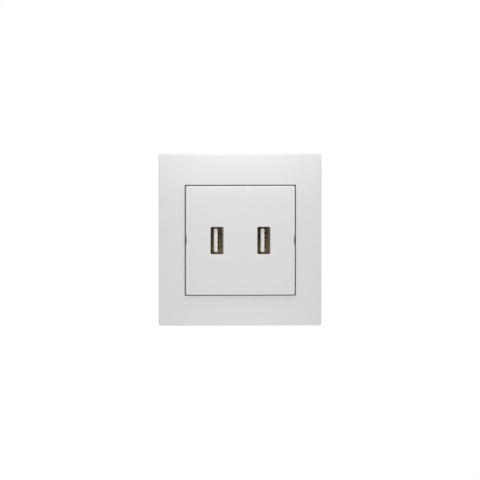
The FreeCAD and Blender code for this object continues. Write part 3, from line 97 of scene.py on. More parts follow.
class Sock:
    """A node's output that takes part in sums, so a finish reads like its formula."""

    def __init__(self, graph: "Graph", out: bpy.types.NodeSocket) -> None:
        """Keep the graph and the output socket."""
        self.graph = graph
        self.out = out

    def _sum(self, kind: str, first: Number, second: Number) -> "Sock":
        """Join two numbers by one Math node.

        Args:
            kind: The operation of the Math node.
            first: Left hand number or socket.
            second: Right hand number or socket.

        Returns:
            The socket with the result.
        """
        return self.graph.node("ShaderNodeMath", {"operation": kind}, {0: first, 1: second})

    def __add__(self, other: Number) -> "Sock":
        """Sum with a number or socket."""
        return self._sum("ADD", self, other)

    def __radd__(self, other: Number) -> "Sock":
        """Sum with a number on the left."""
        return self._sum("ADD", other, self)

    def __sub__(self, other: Number) -> "Sock":
        """Difference from a number or socket."""
        return self._sum("SUBTRACT", self, other)

    def __rsub__(self, other: Number) -> "Sock":
        """Difference with a number on the left."""
        return self._sum("SUBTRACT", other, self)

    def __mul__(self, other: Number) -> "Sock":
        """Product with a number or socket."""
        return self._sum("MULTIPLY", self, other)

    def __rmul__(self, other: Number) -> "Sock":
        """Product with a number on the left."""
        return self._sum("MULTIPLY", other, self)

    def __truediv__(self, other: Number) -> "Sock":
        """Quotient by a number or socket."""
        return self._sum("DIVIDE", self, other)

    def __rtruediv__(self, other: Number) -> "Sock":
        """Quotient with a number on the left."""
        return self._sum("DIVIDE", other, self)

    def __gt__(self, other: Number) -> "Sock":
        """One where this is above the other, else nothing."""
        return self._sum("GREATER_THAN", self, other)

    def fold(self, height: Number) -> "Sock":
        """Wave that rises to a height and falls back to nothing, at a slope of one."""
        return self._sum("PINGPONG", self, height)

    def ramp(self, low: float, high: float, start: float = 0.0, end: float = 1.0) -> "Sock":
        """Stretch a span of values to another, smoothly and clamped.

        Args:
            low: Value that gives start.
            high: Value that gives end.
            start: Result at low.
            end: Result at high.

        Returns:
            The socket with the stretched value.
        """
        return self.graph.node("ShaderNodeMapRange", {"interpolation_type": "SMOOTHSTEP"},
                               {"Value": self, "From Min": low, "From Max": high,
                                "To Min": start, "To Max": end})


class Graph:
    """The node tree of one material, with one method for every node."""

    finer: float = 0.55  # share of a noise's finer layers

    def __init__(self, tree: bpy.types.NodeTree) -> None:
        """Start from an empty tree."""
        self.tree = tree
        tree.nodes.clear()

    def node(self, kind: str, settings: Optional[Mapping[str, Any]] = None,
             inputs: Optional[Mapping[Union[str, int], Any]] = None,
             output: Union[str, int] = 0) -> Sock:
        """Add a node, set it up and link what feeds it.

        Args:
            kind: The node's type name.
            settings: Properties of the node.
            inputs: Socket name or number, with a value or a Sock.
            output: Which output is handed back.

        Returns:
            The chosen output.
        """
        made = self.tree.nodes.new(kind)
        for name, setting in (settings or {}).items():
            setattr(made, name, setting)
        for name, given in (inputs or {}).items():
            if isinstance(given, Sock):
                self.tree.links.new(given.out, made.inputs[name])
            else:
                made.inputs[name].default_value = given
        return Sock(self, made.outputs[output] if made.outputs else None)

    def place(self) -> Sock:
        """Object coordinates, in metres in the shared frame."""
        return self.node("ShaderNodeTexCoord", output="Object")

    def part(self, vector: Sock, axis: Axis) -> Sock:
        """One coordinate of a vector."""
        return self.node("ShaderNodeSeparateXYZ", inputs={0: vector}, output=axis.value)

    def noise(self, grain: float, detail: float = 3.0,
              stretch: Stretch = (1.0, 1.0, 1.0)) -> Sock:
        """Cloudy value around a half.

        Args:
            grain: Size of the clouds in metres.
            detail: Number of finer layers.
            stretch: How much longer the clouds are along each direction.

        Returns:
            The value socket.
        """
        scale = [1.0 / (grain * s) for s in stretch]
        spot = self.node("ShaderNodeMapping", inputs={"Vector": self.place(), "Scale": scale})
        return self.node("ShaderNodeTexNoise", {"noise_dimensions": "3D"},
                         {"Vector": spot, "Scale": 1.0, "Detail": detail,
                          "Roughness": self.finer})

    def cells(self, grain: float, output: str = "Distance") -> Sock:
        """Crystal like cells of a given size in metres."""
        return self.node("ShaderNodeTexVoronoi", {"feature": "F1"},
                         {"Vector": self.place(), "Scale": 1.0 / grain}, output)

    def blend(self, share: Number, first: Tint, second: Tint) -> Sock:
        """Mix two colours.

        Args:
            share: How much of the second there is.
            first: Colour where the share is nothing.
            second: Colour where the share is one.

        Returns:
            The colour socket.
        """
        tints = [t if isinstance(t, Sock) else (*t, 1.0) for t in (first, second)]
        return self.node("ShaderNodeMix", {"data_type": "RGBA"},
                         {0: share, 6: tints[0], 7: tints[1]}, 2)

    def bump(self, height: Sock, deep: float, under: Optional[Sock] = None) -> Sock:
        """Normal that follows a height.

        Args:
            height: Height from nothing to one.
            deep: Depth in metres of one unit of height.
            under: Normal of a coarser relief beneath.

        Returns:
            The normal socket.
        """
        feeds: dict[Union[str, int], Any] = {"Strength": 1.0, "Distance": deep, "Height": height}
        if under is not None:
            feeds["Normal"] = under
        return self.node("ShaderNodeBump", inputs=feeds)

    def surface(self, **feeds: Any) -> None:
        """Close the tree with the principled shader.

        Args:
            feeds: Value or Sock of each socket, by its name in small letters.
        """
        names = {word.replace("_", " ").title(): given for word, given in feeds.items()}
        names = {{"Ior": "IOR"}.get(name, name): given for name, given in names.items()}
        shader = self.node("ShaderNodeBsdfPrincipled", inputs=names)
        self.node("ShaderNodeOutputMaterial", inputs={"Surface": shader})


@dataclass(frozen=True)
class Finish:
    """What every finish shares: its name, colour, second shade and gloss."""

    name: str
    colour: Colour
    shade: Colour
    roughness: float = 0.4

    def draw(self, graph: Graph) -> None:
        """Lay out the nodes; each kind of finish has its own.

        Args:
            graph: Node tree of the material.
        """
        raise NotImplementedError

    def gloss(self, value: Sock, less: float, more: float, low: float = 0.3,
              high: float = 0.7) -> Sock:
        """Roughness that strays from the finish's own as a value does.

        Args:
            value: What the roughness follows.
            less: How far it gets below the finish's own.
            more: How far it gets above the finish's own.
            low: Value at which it is lowest.
            high: Value at which it is highest.

        Returns:
            The roughness socket.
        """
        return value.ramp(low, high, self.roughness - less, self.roughness + more)

    def material(self) -> bpy.types.Material:
        """The Blender material, made on first use and shared afterwards.

        Returns:
            The material of that name.
        """
        label = f"{self.name}_finish"
        made = bpy.data.materials.get(label)
        if made is None:
            made = bpy.data.materials.new(label)
            made.use_nodes = True
            made.diffuse_color = (*self.colour, 1.0)
            self.draw(Graph(made.node_tree))
        return made


@dataclass(frozen=True)
class GlossPlastic(Finish):
    """Glossy moulded plastic: faint clouds in the colour and a fine orange peel."""

    cloud: float = 9 * MM
    peel: float = 1.1 * MM
    peel_deep: float = 0.0016 * MM
    fine: float = 0.16 * MM
    fine_deep: float = 0.0004 * MM
    speck: float = 0.35 * MM
    smear: float = 3.2 * MM

    def draw(self, graph: Graph) -> None:
        """Clouded colour, uneven gloss and two scales of relief.

        Args:
            graph: Node tree of the material.
        """
        clouds = graph.noise(self.cloud, 4.0).ramp(0.3, 0.7)
        specks = graph.noise(self.speck, 2.0).ramp(0.62, 0.8)
        tint = graph.blend(clouds * 0.8 + specks * 0.2, self.colour, self.shade)
        gloss = self.gloss(graph.noise(self.smear, 5.0), 0.04, 0.05, 0.25, 0.75)
        peel = graph.bump(graph.noise(self.peel, 2.0), self.peel_deep)
        fine = graph.bump(graph.noise(self.fine, 2.0), self.fine_deep, peel)
        graph.surface(base_color=tint, roughness=gloss, normal=fine, ior=1.5)


@dataclass(frozen=True)
class GrainPlastic(Finish):
    """Matt engineering plastic with a spark eroded grain and flow marks."""

    grain: float = 0.22 * MM
    grain_deep: float = 0.012 * MM
    cloud: float = 6 * MM
    flow: Stretch = (1.0, 1.0, 3.5)
    smear: float = 1.4 * MM
    wave: float = 2.5 * MM
    wave_deep: float = 0.01 * MM

    def draw(self, graph: Graph) -> None:
        """Grained relief with paler tops and long flow clouds.

        Args:
            graph: Node tree of the material.
        """
        pits = graph.cells(self.grain)
        flow = graph.noise(self.cloud, 4.0, self.flow).ramp(0.35, 0.7)
        tint = graph.blend(flow * 0.7 + pits * 0.5, self.colour, self.shade)
        gloss = self.gloss(graph.noise(self.smear, 3.0), 0.07, 0.08)
        coarse = graph.bump(graph.noise(self.wave, 2.0), self.wave_deep)
        graph.surface(base_color=tint, roughness=gloss,
                      normal=graph.bump(pits, self.grain_deep, coarse))


@dataclass(frozen=True)
class PlatedSteel(Finish):
    """Zinc plated sheet: spangles, rolling lines and dulled handling marks."""

    spangle: float = 2.4 * MM
    spangle_deep: float = 0.0008 * MM
    rolled: Stretch = (1.0, 1.0, 18.0)
    line: float = 0.12 * MM
    line_deep: float = 0.0015 * MM
    handled: float = 7 * MM

    def draw(self, graph: Graph) -> None:
        """Spangled colour, brushed gloss and fine rolling relief.

        Args:
            graph: Node tree of the material.
        """
        flakes = graph.part(graph.cells(self.spangle, "Color"), Axis.ACROSS)
        dull = graph.noise(self.handled, 6.0).ramp(0.45, 0.72)
        lines = graph.noise(self.line, 3.0, self.rolled)
        tint = graph.blend(flakes * 0.45 + dull * 0.55, self.colour, self.shade)
        gloss = self.gloss(lines, 0.06, 0.08) + dull * 0.14
        relief = graph.bump(lines, self.line_deep, graph.bump(flakes, self.spangle_deep))
        graph.surface(base_color=tint, metallic=1.0, roughness=gloss, normal=relief)


@dataclass(frozen=True)
class DrawnMetal(Finish):
    """Turned, stamped or drawn metal with fine lines along one direction."""

    drawn: Stretch = (1.0, 10.0, 1.0)
    line: float = 0.07 * MM
    line_deep: float = 0.001 * MM
    tarnish: float = 1.6 * MM

    def worn(self, graph: Graph) -> tuple[Sock, Sock, Sock]:
        """Lines, patches of tarnish and the colour that both give.

        Args:
            graph: Node tree of the material.

        Returns:
            The sockets of the lines, the patches and the colour.
        """
        lines = graph.noise(self.line, 3.0, self.drawn)
        patch = graph.noise(self.tarnish, 5.0).ramp(0.42, 0.7)
        return lines, patch, graph.blend(patch * 0.75 + lines * 0.25, self.colour, self.shade)

    def draw(self, graph: Graph) -> None:
        """Lined relief, patches of tarnish and a gloss that follows both.

        Args:
            graph: Node tree of the material.
        """
        lines, patch, tint = self.worn(graph)
        graph.surface(base_color=tint, metallic=1.0,
                      roughness=self.gloss(lines, 0.05, 0.06) + patch * 0.1,
                      normal=graph.bump(lines, self.line_deep))


@dataclass(frozen=True)
class PortShell(DrawnMetal):
    """Drawn shell of a port: painted shade darkens its front rim, and painted light lightens the
    rim on each port's right side.
    """

    # painted shade: near black colour of the shell's front rim
    rim: Colour = (0.035, 0.028, 0.018)
    rim_shade_start: float = 10.18 * MM
    rim_shade_full: float = 10.30 * MM
    spread: float = 23.0 * MM
    # painted light: between these distances right of a port's middle the painted rim shade is
    # lightened, by this share
    lit_side_start: float = 1.9 * MM
    lit_side_full: float = 2.6 * MM
    lit_side_share: float = 0.5

    def draw(self, graph: Graph) -> None:
        """Drawn lines and tarnish as on other metal, with painted shade from the rim forward and
        painted light on each port's right side.

        Args:
            graph: Node tree of the material.
        """
        lines, patch, wall = self.worn(graph)
        place = graph.place()
        quarter = self.spread / 4
        # distance right of the nearest port's middle, below zero on its left, where painted light
        # lightens the rim
        off = (graph.part(place, Axis.ACROSS) - quarter).fold(2 * quarter) - quarter
        painted_lit_side = off.ramp(self.lit_side_start, self.lit_side_full)
        # painted shade: the shell darkens from the rim forward, less on the right side
        front = (0.0 - graph.part(place, Axis.DEPTH)).ramp(self.rim_shade_start, self.rim_shade_full)
        front = front * (1.0 - painted_lit_side * self.lit_side_share)
        graph.surface(base_color=graph.blend(front, wall, self.rim), metallic=1.0,
                      roughness=self.roughness + patch * 0.1 + front * 0.25,
                      normal=graph.bump(lines, self.line_deep))


@dataclass(frozen=True)
class TonguePlastic(GlossPlastic):
    """Moulded insert of a port: clean ivory at the tongue's tip; deeper in, painted shade and
    light turn it tan, dark at the top and pale at the bottom.
    """

    # painted light and shade: colours of the insert deep in the port, pale at the bottom (deep)
    # and dark at the top (shaded)
    deep: Colour = (0.95, 0.82, 0.60)
    shaded: Colour = (0.50, 0.42, 0.29)
    painted_tan_full: float = 4.5 * MM
    painted_tan_start: float = 9.2 * MM
    painted_shade_half_height: float = 5 * MM

    def draw(self, graph: Graph) -> None:
        """Clouded ivory that turns to a painted tan towards the root, with painted shade at the
        top and painted light at the bottom.

        Args:
            graph: Node tree of the material.
        """
        clouds = graph.noise(self.cloud, 4.0).ramp(0.3, 0.7)
        place = graph.place()
        # painted shade: the insert turns tan towards the port's root
        root = (0.0 - graph.part(place, Axis.DEPTH)).ramp(self.painted_tan_full, self.painted_tan_start,
                                                          1.0, 0.0)
        # painted light and shade: the tan is dark at the top and pale at the bottom
        painted_shade_by_height = graph.part(place, Axis.UP).ramp(-self.painted_shade_half_height, self.painted_shade_half_height)
        tip = graph.blend(clouds, self.colour, self.shade)
        tan = graph.blend(painted_shade_by_height, self.deep, self.shaded)
        graph.surface(base_color=graph.blend(root, tip, tan),
                      roughness=self.gloss(clouds, 0.04, 0.05, 0.0, 1.0),
                      normal=graph.bump(graph.noise(self.peel, 2.0), self.peel_deep), ior=1.5)


@dataclass(frozen=True)
class Laminate(Finish):
    """Printed board: lacquer over copper tracks, with the cloth weave in its edge."""

    copper: Colour = (0.16, 0.34, 0.12)
    copper_high: float = 0.03 * MM
    track_step: float = 1.9 * MM
    areas: float = 140.0
    pad: float = 2.6 * MM
    thread: float = 0.3 * MM
    weave_gain: float = 1600.0

    def draw(self, graph: Graph) -> None:
        """Tracks as folded bands that turn by area, over woven glass.

        Args:
            graph: Node tree of the material.
        """
        place = graph.place()
        across, up = graph.part(place, Axis.ACROSS), graph.part(place, Axis.UP)
        turn = graph.node("ShaderNodeTexNoise", {}, {"Vector": place, "Scale": self.areas}) > 0.5
        along = turn * across + (1.0 - turn) * up
        band = along.fold(self.track_step) / self.track_step
        pads = graph.cells(self.pad).ramp(0.30, 0.36, 1.0, 0.0)
        tracks = (band > 0.55) * 0.8 + pads * 0.4
        weave = (across.fold(self.thread) * self.weave_gain
                 + up.fold(self.thread) * self.weave_gain)
        tint = graph.blend(tracks, graph.blend(weave * 0.3, self.colour, self.shade), self.copper)
        graph.surface(base_color=tint, roughness=weave * 0.1 + self.roughness,
                      normal=graph.bump(tracks, self.copper_high), coat_weight=0.4,
                      coat_roughness=0.15)


@dataclass(frozen=True)
class Sleeve(Finish):
    """Shrunk sleeve on a can, with a paler stripe down one side."""

    stripe_step: float = 8 * MM
    stripe_wide: float = 1.4 * MM
    stripe: Colour = (0.55, 0.56, 0.58)
    wrinkle: float = 0.9 * MM
    wrinkle_deep: float = 0.01 * MM
    drawn: Stretch = (1.0, 5.0, 1.0)

    def draw(self, graph: Graph) -> None:
        """Stripe by height, drawn wrinkles along the can.

        Args:
            graph: Node tree of the material.
        """
        near = graph.part(graph.place(), Axis.UP).fold(self.stripe_step)
        share = near.ramp(self.stripe_wide, self.stripe_wide * 1.08, 1.0, 0.0)
        wrinkle = graph.noise(self.wrinkle, 3.0, self.drawn)
        film = graph.blend(wrinkle.ramp(0.3, 0.7), self.colour, self.shade)
        graph.surface(base_color=graph.blend(share, film, self.stripe),
                      roughness=self.gloss(wrinkle, 0.05, 0.08),
                      normal=graph.bump(wrinkle, self.wrinkle_deep), coat_weight=0.3)


@dataclass(frozen=True)
class WoundTape(Finish):
    """Layers of polyester tape over a winding, with its edges showing as lines."""

    turn: float = 1.3 * MM
    wire: float = 0.16 * MM
    glow: float = 2.0 * MM
    lap_deep: float = 0.02 * MM

    def draw(self, graph: Graph) -> None:
        """Lines of the tape's laps and the wire's glow beneath.

        Args:
            graph: Node tree of the material.
        """
        up = graph.part(graph.place(), Axis.UP)
        laps = (up.fold(self.turn) / self.turn).ramp(0.8, 0.95)
        wire = up.fold(self.wire) / self.wire
        glow = graph.noise(self.glow, 4.0).ramp(0.35, 0.65)
        tint = graph.blend(laps * 0.5 + wire * 0.15 + glow * 0.25, self.colour, self.shade)
        graph.surface(base_color=tint, roughness=self.roughness + glow * 0.1,
                      normal=graph.bump(laps + wire * 0.3, self.lap_deep), coat_weight=0.5)


@dataclass(frozen=True)
class FiredCeramic(Finish):
    """Fired ceramic, ferrite or lacquered disc: pitted and chalky."""

    pit: float = 0.5 * MM
    pit_deep: float = 0.02 * MM
    chalk: float = 1.5 * MM

    def draw(self, graph: Graph) -> None:
        """Pitted surface with chalky patches.

        Args:
            graph: Node tree of the material.
        """
        pits = graph.cells(self.pit).ramp(0.0, 0.35)
        chalk = graph.noise(self.chalk, 5.0).ramp(0.4, 0.7)
        tint = graph.blend(chalk * 0.6 + (1.0 - pits) * 0.4, self.colour, self.shade)
        graph.surface(base_color=tint, roughness=self.gloss(chalk, 0.08, 0.1, 0.0, 1.0),
                      normal=graph.bump(pits, self.pit_deep))


WHITE_FRAME = GlossPlastic("frame_white", (0.800, 0.790, 0.786), (0.786, 0.777, 0.776), 0.33)
WHITE_PLATE = GlossPlastic("plate_white", (0.800, 0.790, 0.788), (0.787, 0.778, 0.778), 0.33,
                           cloud=11 * MM)
IVORY = TonguePlastic("tongue_ivory", (0.86, 0.83, 0.82), (0.83, 0.79, 0.78), 0.42,
                      cloud=2 * MM, peel=0.4 * MM)
CASE_GREY = GrainPlastic("case_charcoal", (0.030, 0.031, 0.033), (0.055, 0.056, 0.058), 0.55)
CHIP_BLACK = GrainPlastic("chip_black", (0.018, 0.018, 0.020), (0.034, 0.034, 0.036), 0.5,
                          grain=0.1 * MM, grain_deep=0.005 * MM)
BOBBIN = GrainPlastic("bobbin_brown", (0.045, 0.022, 0.014), (0.08, 0.042, 0.026), 0.5,
                      grain=0.15 * MM)
FUSE = GrainPlastic("fuse_brown", (0.06, 0.020, 0.015), (0.10, 0.035, 0.026), 0.4,
                    grain=0.3 * MM, grain_deep=0.004 * MM)
STRAP_ZINC = PlatedSteel("strap_zinc", (0.62, 0.63, 0.64), (0.45, 0.46, 0.48), 0.36)
CAGE_ZINC = PlatedSteel("cage_zinc", (0.60, 0.60, 0.58), (0.42, 0.42, 0.41), 0.40,
                        spangle=1.2 * MM)
CLAW_ZINC = PlatedSteel("claw_zinc", (0.66, 0.62, 0.50), (0.47, 0.44, 0.36), 0.38,
                        spangle=1.6 * MM, rolled=(1.0, 12.0, 1.0))
SCREW_ZINC = DrawnMetal("screw_zinc", (0.64, 0.64, 0.63), (0.45, 0.45, 0.44), 0.32)
# Warm nickel set paler than bare nickel, so that the port's shaded inside reads lighter: partly
# painted light
SHELL_NICKEL = PortShell("shell_nickel", (0.96, 0.90, 0.76), (0.84, 0.77, 0.62), 0.38)
# Gold of the contacts, darkened to near black: painted shade of the port's dark inside
SHADED_GOLD = DrawnMetal("contact_gold", (0.036, 0.026, 0.011), (0.020, 0.015, 0.006), 0.42)
BRASS = DrawnMetal("bar_brass", (0.72, 0.55, 0.27), (0.52, 0.37, 0.17), 0.34)
BOARD = Laminate("board_green", (0.035, 0.14, 0.055), (0.06, 0.20, 0.085), 0.3)
CAN_SLEEVE = Sleeve("capacitor_sleeve", (0.02, 0.022, 0.03), (0.035, 0.038, 0.05), 0.33)
CHOKE_SLEEVE = Sleeve("choke_sleeve", (0.04, 0.04, 0.04), (0.07, 0.065, 0.06), 0.45,
                      stripe=(0.07, 0.065, 0.06))
TAPE = WoundTape("winding_tape", (0.72, 0.50, 0.08), (0.45, 0.24, 0.05), 0.3)
FERRITE = FiredCeramic("ferrite", (0.035, 0.035, 0.037), (0.08, 0.08, 0.082), 0.6)
DISC = FiredCeramic("disc_lacquer", (0.04, 0.13, 0.42), (0.07, 0.19, 0.52), 0.3,
                    pit=1.5 * MM, pit_deep=0.03 * MM)
RESISTOR = FiredCeramic("resistor_ceramic", (0.05, 0.05, 0.055), (0.60, 0.60, 0.58), 0.4,
                        pit=0.2 * MM)

SLOT_FINISH: dict[str, Finish] = {
    "frame_plastic": WHITE_FRAME, "plate_plastic": WHITE_PLATE, "strap_steel": STRAP_ZINC,
    "case_plastic": CASE_GREY, "shell_nickel": SHELL_NICKEL, "tongue_plastic": IVORY,
    "contact_gold": SHADED_GOLD, "board_laminate": BOARD, "ferrite": FERRITE,
    "bobbin_plastic": BOBBIN, "winding_tape": TAPE, "capacitor_sleeve": CAN_SLEEVE,
    "disc_ceramic": DISC, "fuse_plastic": FUSE, "choke_sleeve": CHOKE_SLEEVE,
    "chip_plastic": CHIP_BLACK, "resistor_ceramic": RESISTOR, "bar_brass": BRASS,
    "cage_steel": CAGE_ZINC, "screw_steel": SCREW_ZINC, "claw_steel": CLAW_ZINC,
}


def middle(edge: bmesh.types.BMEdge) -> Vector:
    """Middle of an edge."""
    return (edge.verts[0].co + edge.verts[1].co) / 2


def farthest(spot: Vector) -> float:
    """Larger of a place's distances from the middle across and up."""
    return max(abs(spot.x), abs(spot.z))


def span(side: int, near: float, far: float) -> list[float]:
    """Two distances from the middle put on one side of it, the lower first."""
    return sorted((side * near, side * far))


def merge(bm: bmesh.types.BMesh, near: float) -> None:
    """Join the vertices that lie closer than a distance."""
    bmesh.ops.remove_doubles(bm, verts=bm.verts[:], dist=near)


def slice_at(bm: bmesh.types.BMesh, axis: Axis, place: float,
             **sides: bool) -> list[bmesh.types.BMEdge]:
    """Draw a line across all faces.

    Args:
        bm: The mesh in work.
        axis: Direction that the place is measured along.
        place: Where the line is drawn.
        sides: Which side is cleared, in the operator's own words.

    Returns:
        The edges of the line.
    """
    geom = bm.verts[:] + bm.edges[:] + bm.faces[:]
    cut = bmesh.ops.bisect_plane(bm, geom=geom, dist=CUT_NEAR, plane_co=axis.unit * place,
                                 plane_no=axis.unit, **sides)["geom_cut"]
    return [e for e in cut if isinstance(e, bmesh.types.BMEdge)]


def trim(bm: bmesh.types.BMesh, depth: float, front: bool) -> None:
    """Clear what lies in front of or behind a depth, and close the cut.

    Args:
        bm: The mesh in work.
        depth: Where it is cut.
        front: Whether the front is cleared, else the rear.
    """
    rim = slice_at(bm, Axis.DEPTH, depth, clear_inner=front, clear_outer=not front)
    bmesh.ops.edgeloop_fill(bm, edges=rim)


def put_in_scene(name: str, data: bpy.types.ID) -> bpy.types.Object:
    """Object of a mesh, lamp or camera, linked to the scene."""
    made = bpy.data.objects.new(name, data)
    bpy.context.scene.collection.objects.link(made)
    return made


class Shape:
    """A mesh in work, with the cuts, walls and edges that the pieces share."""

    def __init__(self) -> None:
        """Start empty."""
        self.bm = bmesh.new()

    def sheet(self, wide: float, high: float, cells_wide: int, cells_high: int) -> None:
        """Lay an upright gridded sheet that faces out of the wall.

        Args:
            wide: Width in metres.
            high: Height in metres.
            cells_wide: Number of cells across.
            cells_high: Number of cells up.
        """
        stand = Matrix.Rotation(math.radians(90), 4, "X")
        size = Matrix.Diagonal((wide, high, 1.0, 1.0))
        bmesh.ops.create_grid(self.bm, x_segments=cells_wide, y_segments=cells_high, size=0.5,
                              matrix=stand @ size)

    def block(self, low: Sequence[float], high: Sequence[float]) -> list[bmesh.types.BMVert]:
        """Add a block between two corners.

        Args:
            low: Lowest corner in metres.
            high: Highest corner in metres.

        Returns:
            The block's vertices.
        """
        low_v, high_v = Vector(low), Vector(high)
        size = Matrix.Diagonal((*(high_v - low_v), 1.0))
        matrix = Matrix.Translation((low_v + high_v) / 2) @ size
        return bmesh.ops.create_cube(self.bm, size=1.0, matrix=matrix)["verts"]

    def cut(self, axis: Axis, *places: float) -> None:
        """Draw lines across all faces at places along an axis."""
        for place in places:
            slice_at(self.bm, axis, place)

    def gather(self, axis: Axis, rim: float, reach: float) -> None:
        """Bring the lines close to a mirrored rim onto it, so that a thick wall can't fold there.

        Args:
            axis: Direction that the lines are measured along.
            rim: Distance of the rim from the middle.
            reach: How far past the rim lines are taken, below zero for the side to the middle.
        """
        for vert in self.bm.verts:
            place = vert.co[axis.value]
            if SAME < (abs(place) - rim) / math.copysign(1.0, reach) < abs(reach):
                vert.co[axis.value] = math.copysign(rim, place)
        merge(self.bm, SAME / 10)

    def drop(self, test: Test) -> None:
        """Delete the faces whose middle passes the test."""
        gone = [f for f in self.bm.faces if test(f.calc_center_median())]
        bmesh.ops.delete(self.bm, geom=gone, context="FACES")

    def wall(self, test: Test, level: float) -> None:
        """Pull the open rim that passes the test straight back to a level.

        Args:
            test: Says of a rim edge's middle whether it is taken.
            level: Height in front of the wall where the new rim ends.
        """
        rim = [e for e in self.bm.edges if e.is_boundary and test(middle(e))]
        made = bmesh.ops.extrude_edge_only(self.bm, edges=rim)["geom"]
        for vert in made:
            if isinstance(vert, bmesh.types.BMVert):
                vert.co.y = -level

    def thicken(self, wall: float) -> None:
        """Give the open skin its wall, on the side away from the user.

        Args:
            wall: Thickness in metres.
        """
        bmesh.ops.recalc_face_normals(self.bm, faces=self.bm.faces[:])
        front = min(self.bm.faces, key=lambda f: f.calc_center_median().y)
        if front.normal.y > 0:
            bmesh.ops.reverse_faces(self.bm, faces=self.bm.faces[:])
        bmesh.ops.solidify(self.bm, geom=self.bm.faces[:], thickness=wall)

    def upright(self, x: float, z: float) -> list[bmesh.types.BMEdge]:
        """Edges along the depth that stand at a mirrored place across and up.

        Args:
            x: Distance from the middle across.
            z: Distance from the middle up.

        Returns:
            The edges found.
        """
        found = []
        for edge in self.bm.edges:
            spot, run = middle(edge), edge.verts[0].co - edge.verts[1].co
            off = max(abs(abs(spot.x) - x), abs(abs(spot.z) - z))
            if abs(run.y) > 0.9 * run.length and off < BESIDE:
                found.append(edge)
        return found

    def sharp(self, test: Test) -> list[bmesh.types.BMEdge]:
        """Edges folded by more than 40 degrees whose middle passes the test."""
        return [e for e in self.bm.edges
                if len(e.link_faces) == 2 and test(middle(e))
                and e.calc_face_angle(0.0) > math.radians(40)]

    def soften(self, edges: Sequence[bmesh.types.BMEdge], size: float, steps: int) -> None:
        """Round or chamfer edges.

        Args:
            edges: The edges to treat.
            size: Radius or leg in metres.
            steps: One for a chamfer, more for a round.
        """
        bmesh.ops.bevel(self.bm, geom=edges, offset=size, offset_type="OFFSET",
                        segments=steps, profile=0.5, affect="EDGES", material=-1,
                        clamp_overlap=True)

    def piece(self, name: str, body: str, slot: str, smooth: float = 32.0) -> bpy.types.Object:
        """Close the work: make the object, dress it and let it ride on its body.

        Args:
            name: Name of the piece.
            body: CAD body that carries it.
            slot: The record's material slot.
            smooth: Fold in degrees above which an edge stays crisp.

        Returns:
            The finished object.
        """
        merge(self.bm, SAME / 5)
        for face in self.bm.faces:
            face.smooth = True
        mesh = bpy.data.meshes.new(name)
        self.bm.to_mesh(mesh)
        self.bm.free()
        mesh.set_sharp_from_angle(angle=math.radians(smooth))
        mesh.materials.append(SLOT_FINISH[slot].material())
        made = put_in_scene(name, mesh)
        weight = made.modifiers.new("FaceWeights", "WEIGHTED_NORMAL")
        weight.keep_sharp = True
        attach(made, body)
        LOG.info("%s: %d faces on %s", name, len(mesh.polygons), body)
        return made


def bow(reach: float, half: float, run: float, drop: float) -> float:
    """How far the domed face has fallen at a distance from its middle.

    Args:
        reach: Distance from the middle.
        half: Half the face's size that way.
        run: Width of the falling band.
        drop: Fall at the very edge.

    Returns:
        The fall in metres.
    """
    past = max(0.0, abs(reach) - (half - run))
    radius = (run * run + drop * drop) / (2 * drop)
    return radius - math.sqrt(radius * radius - past * past)


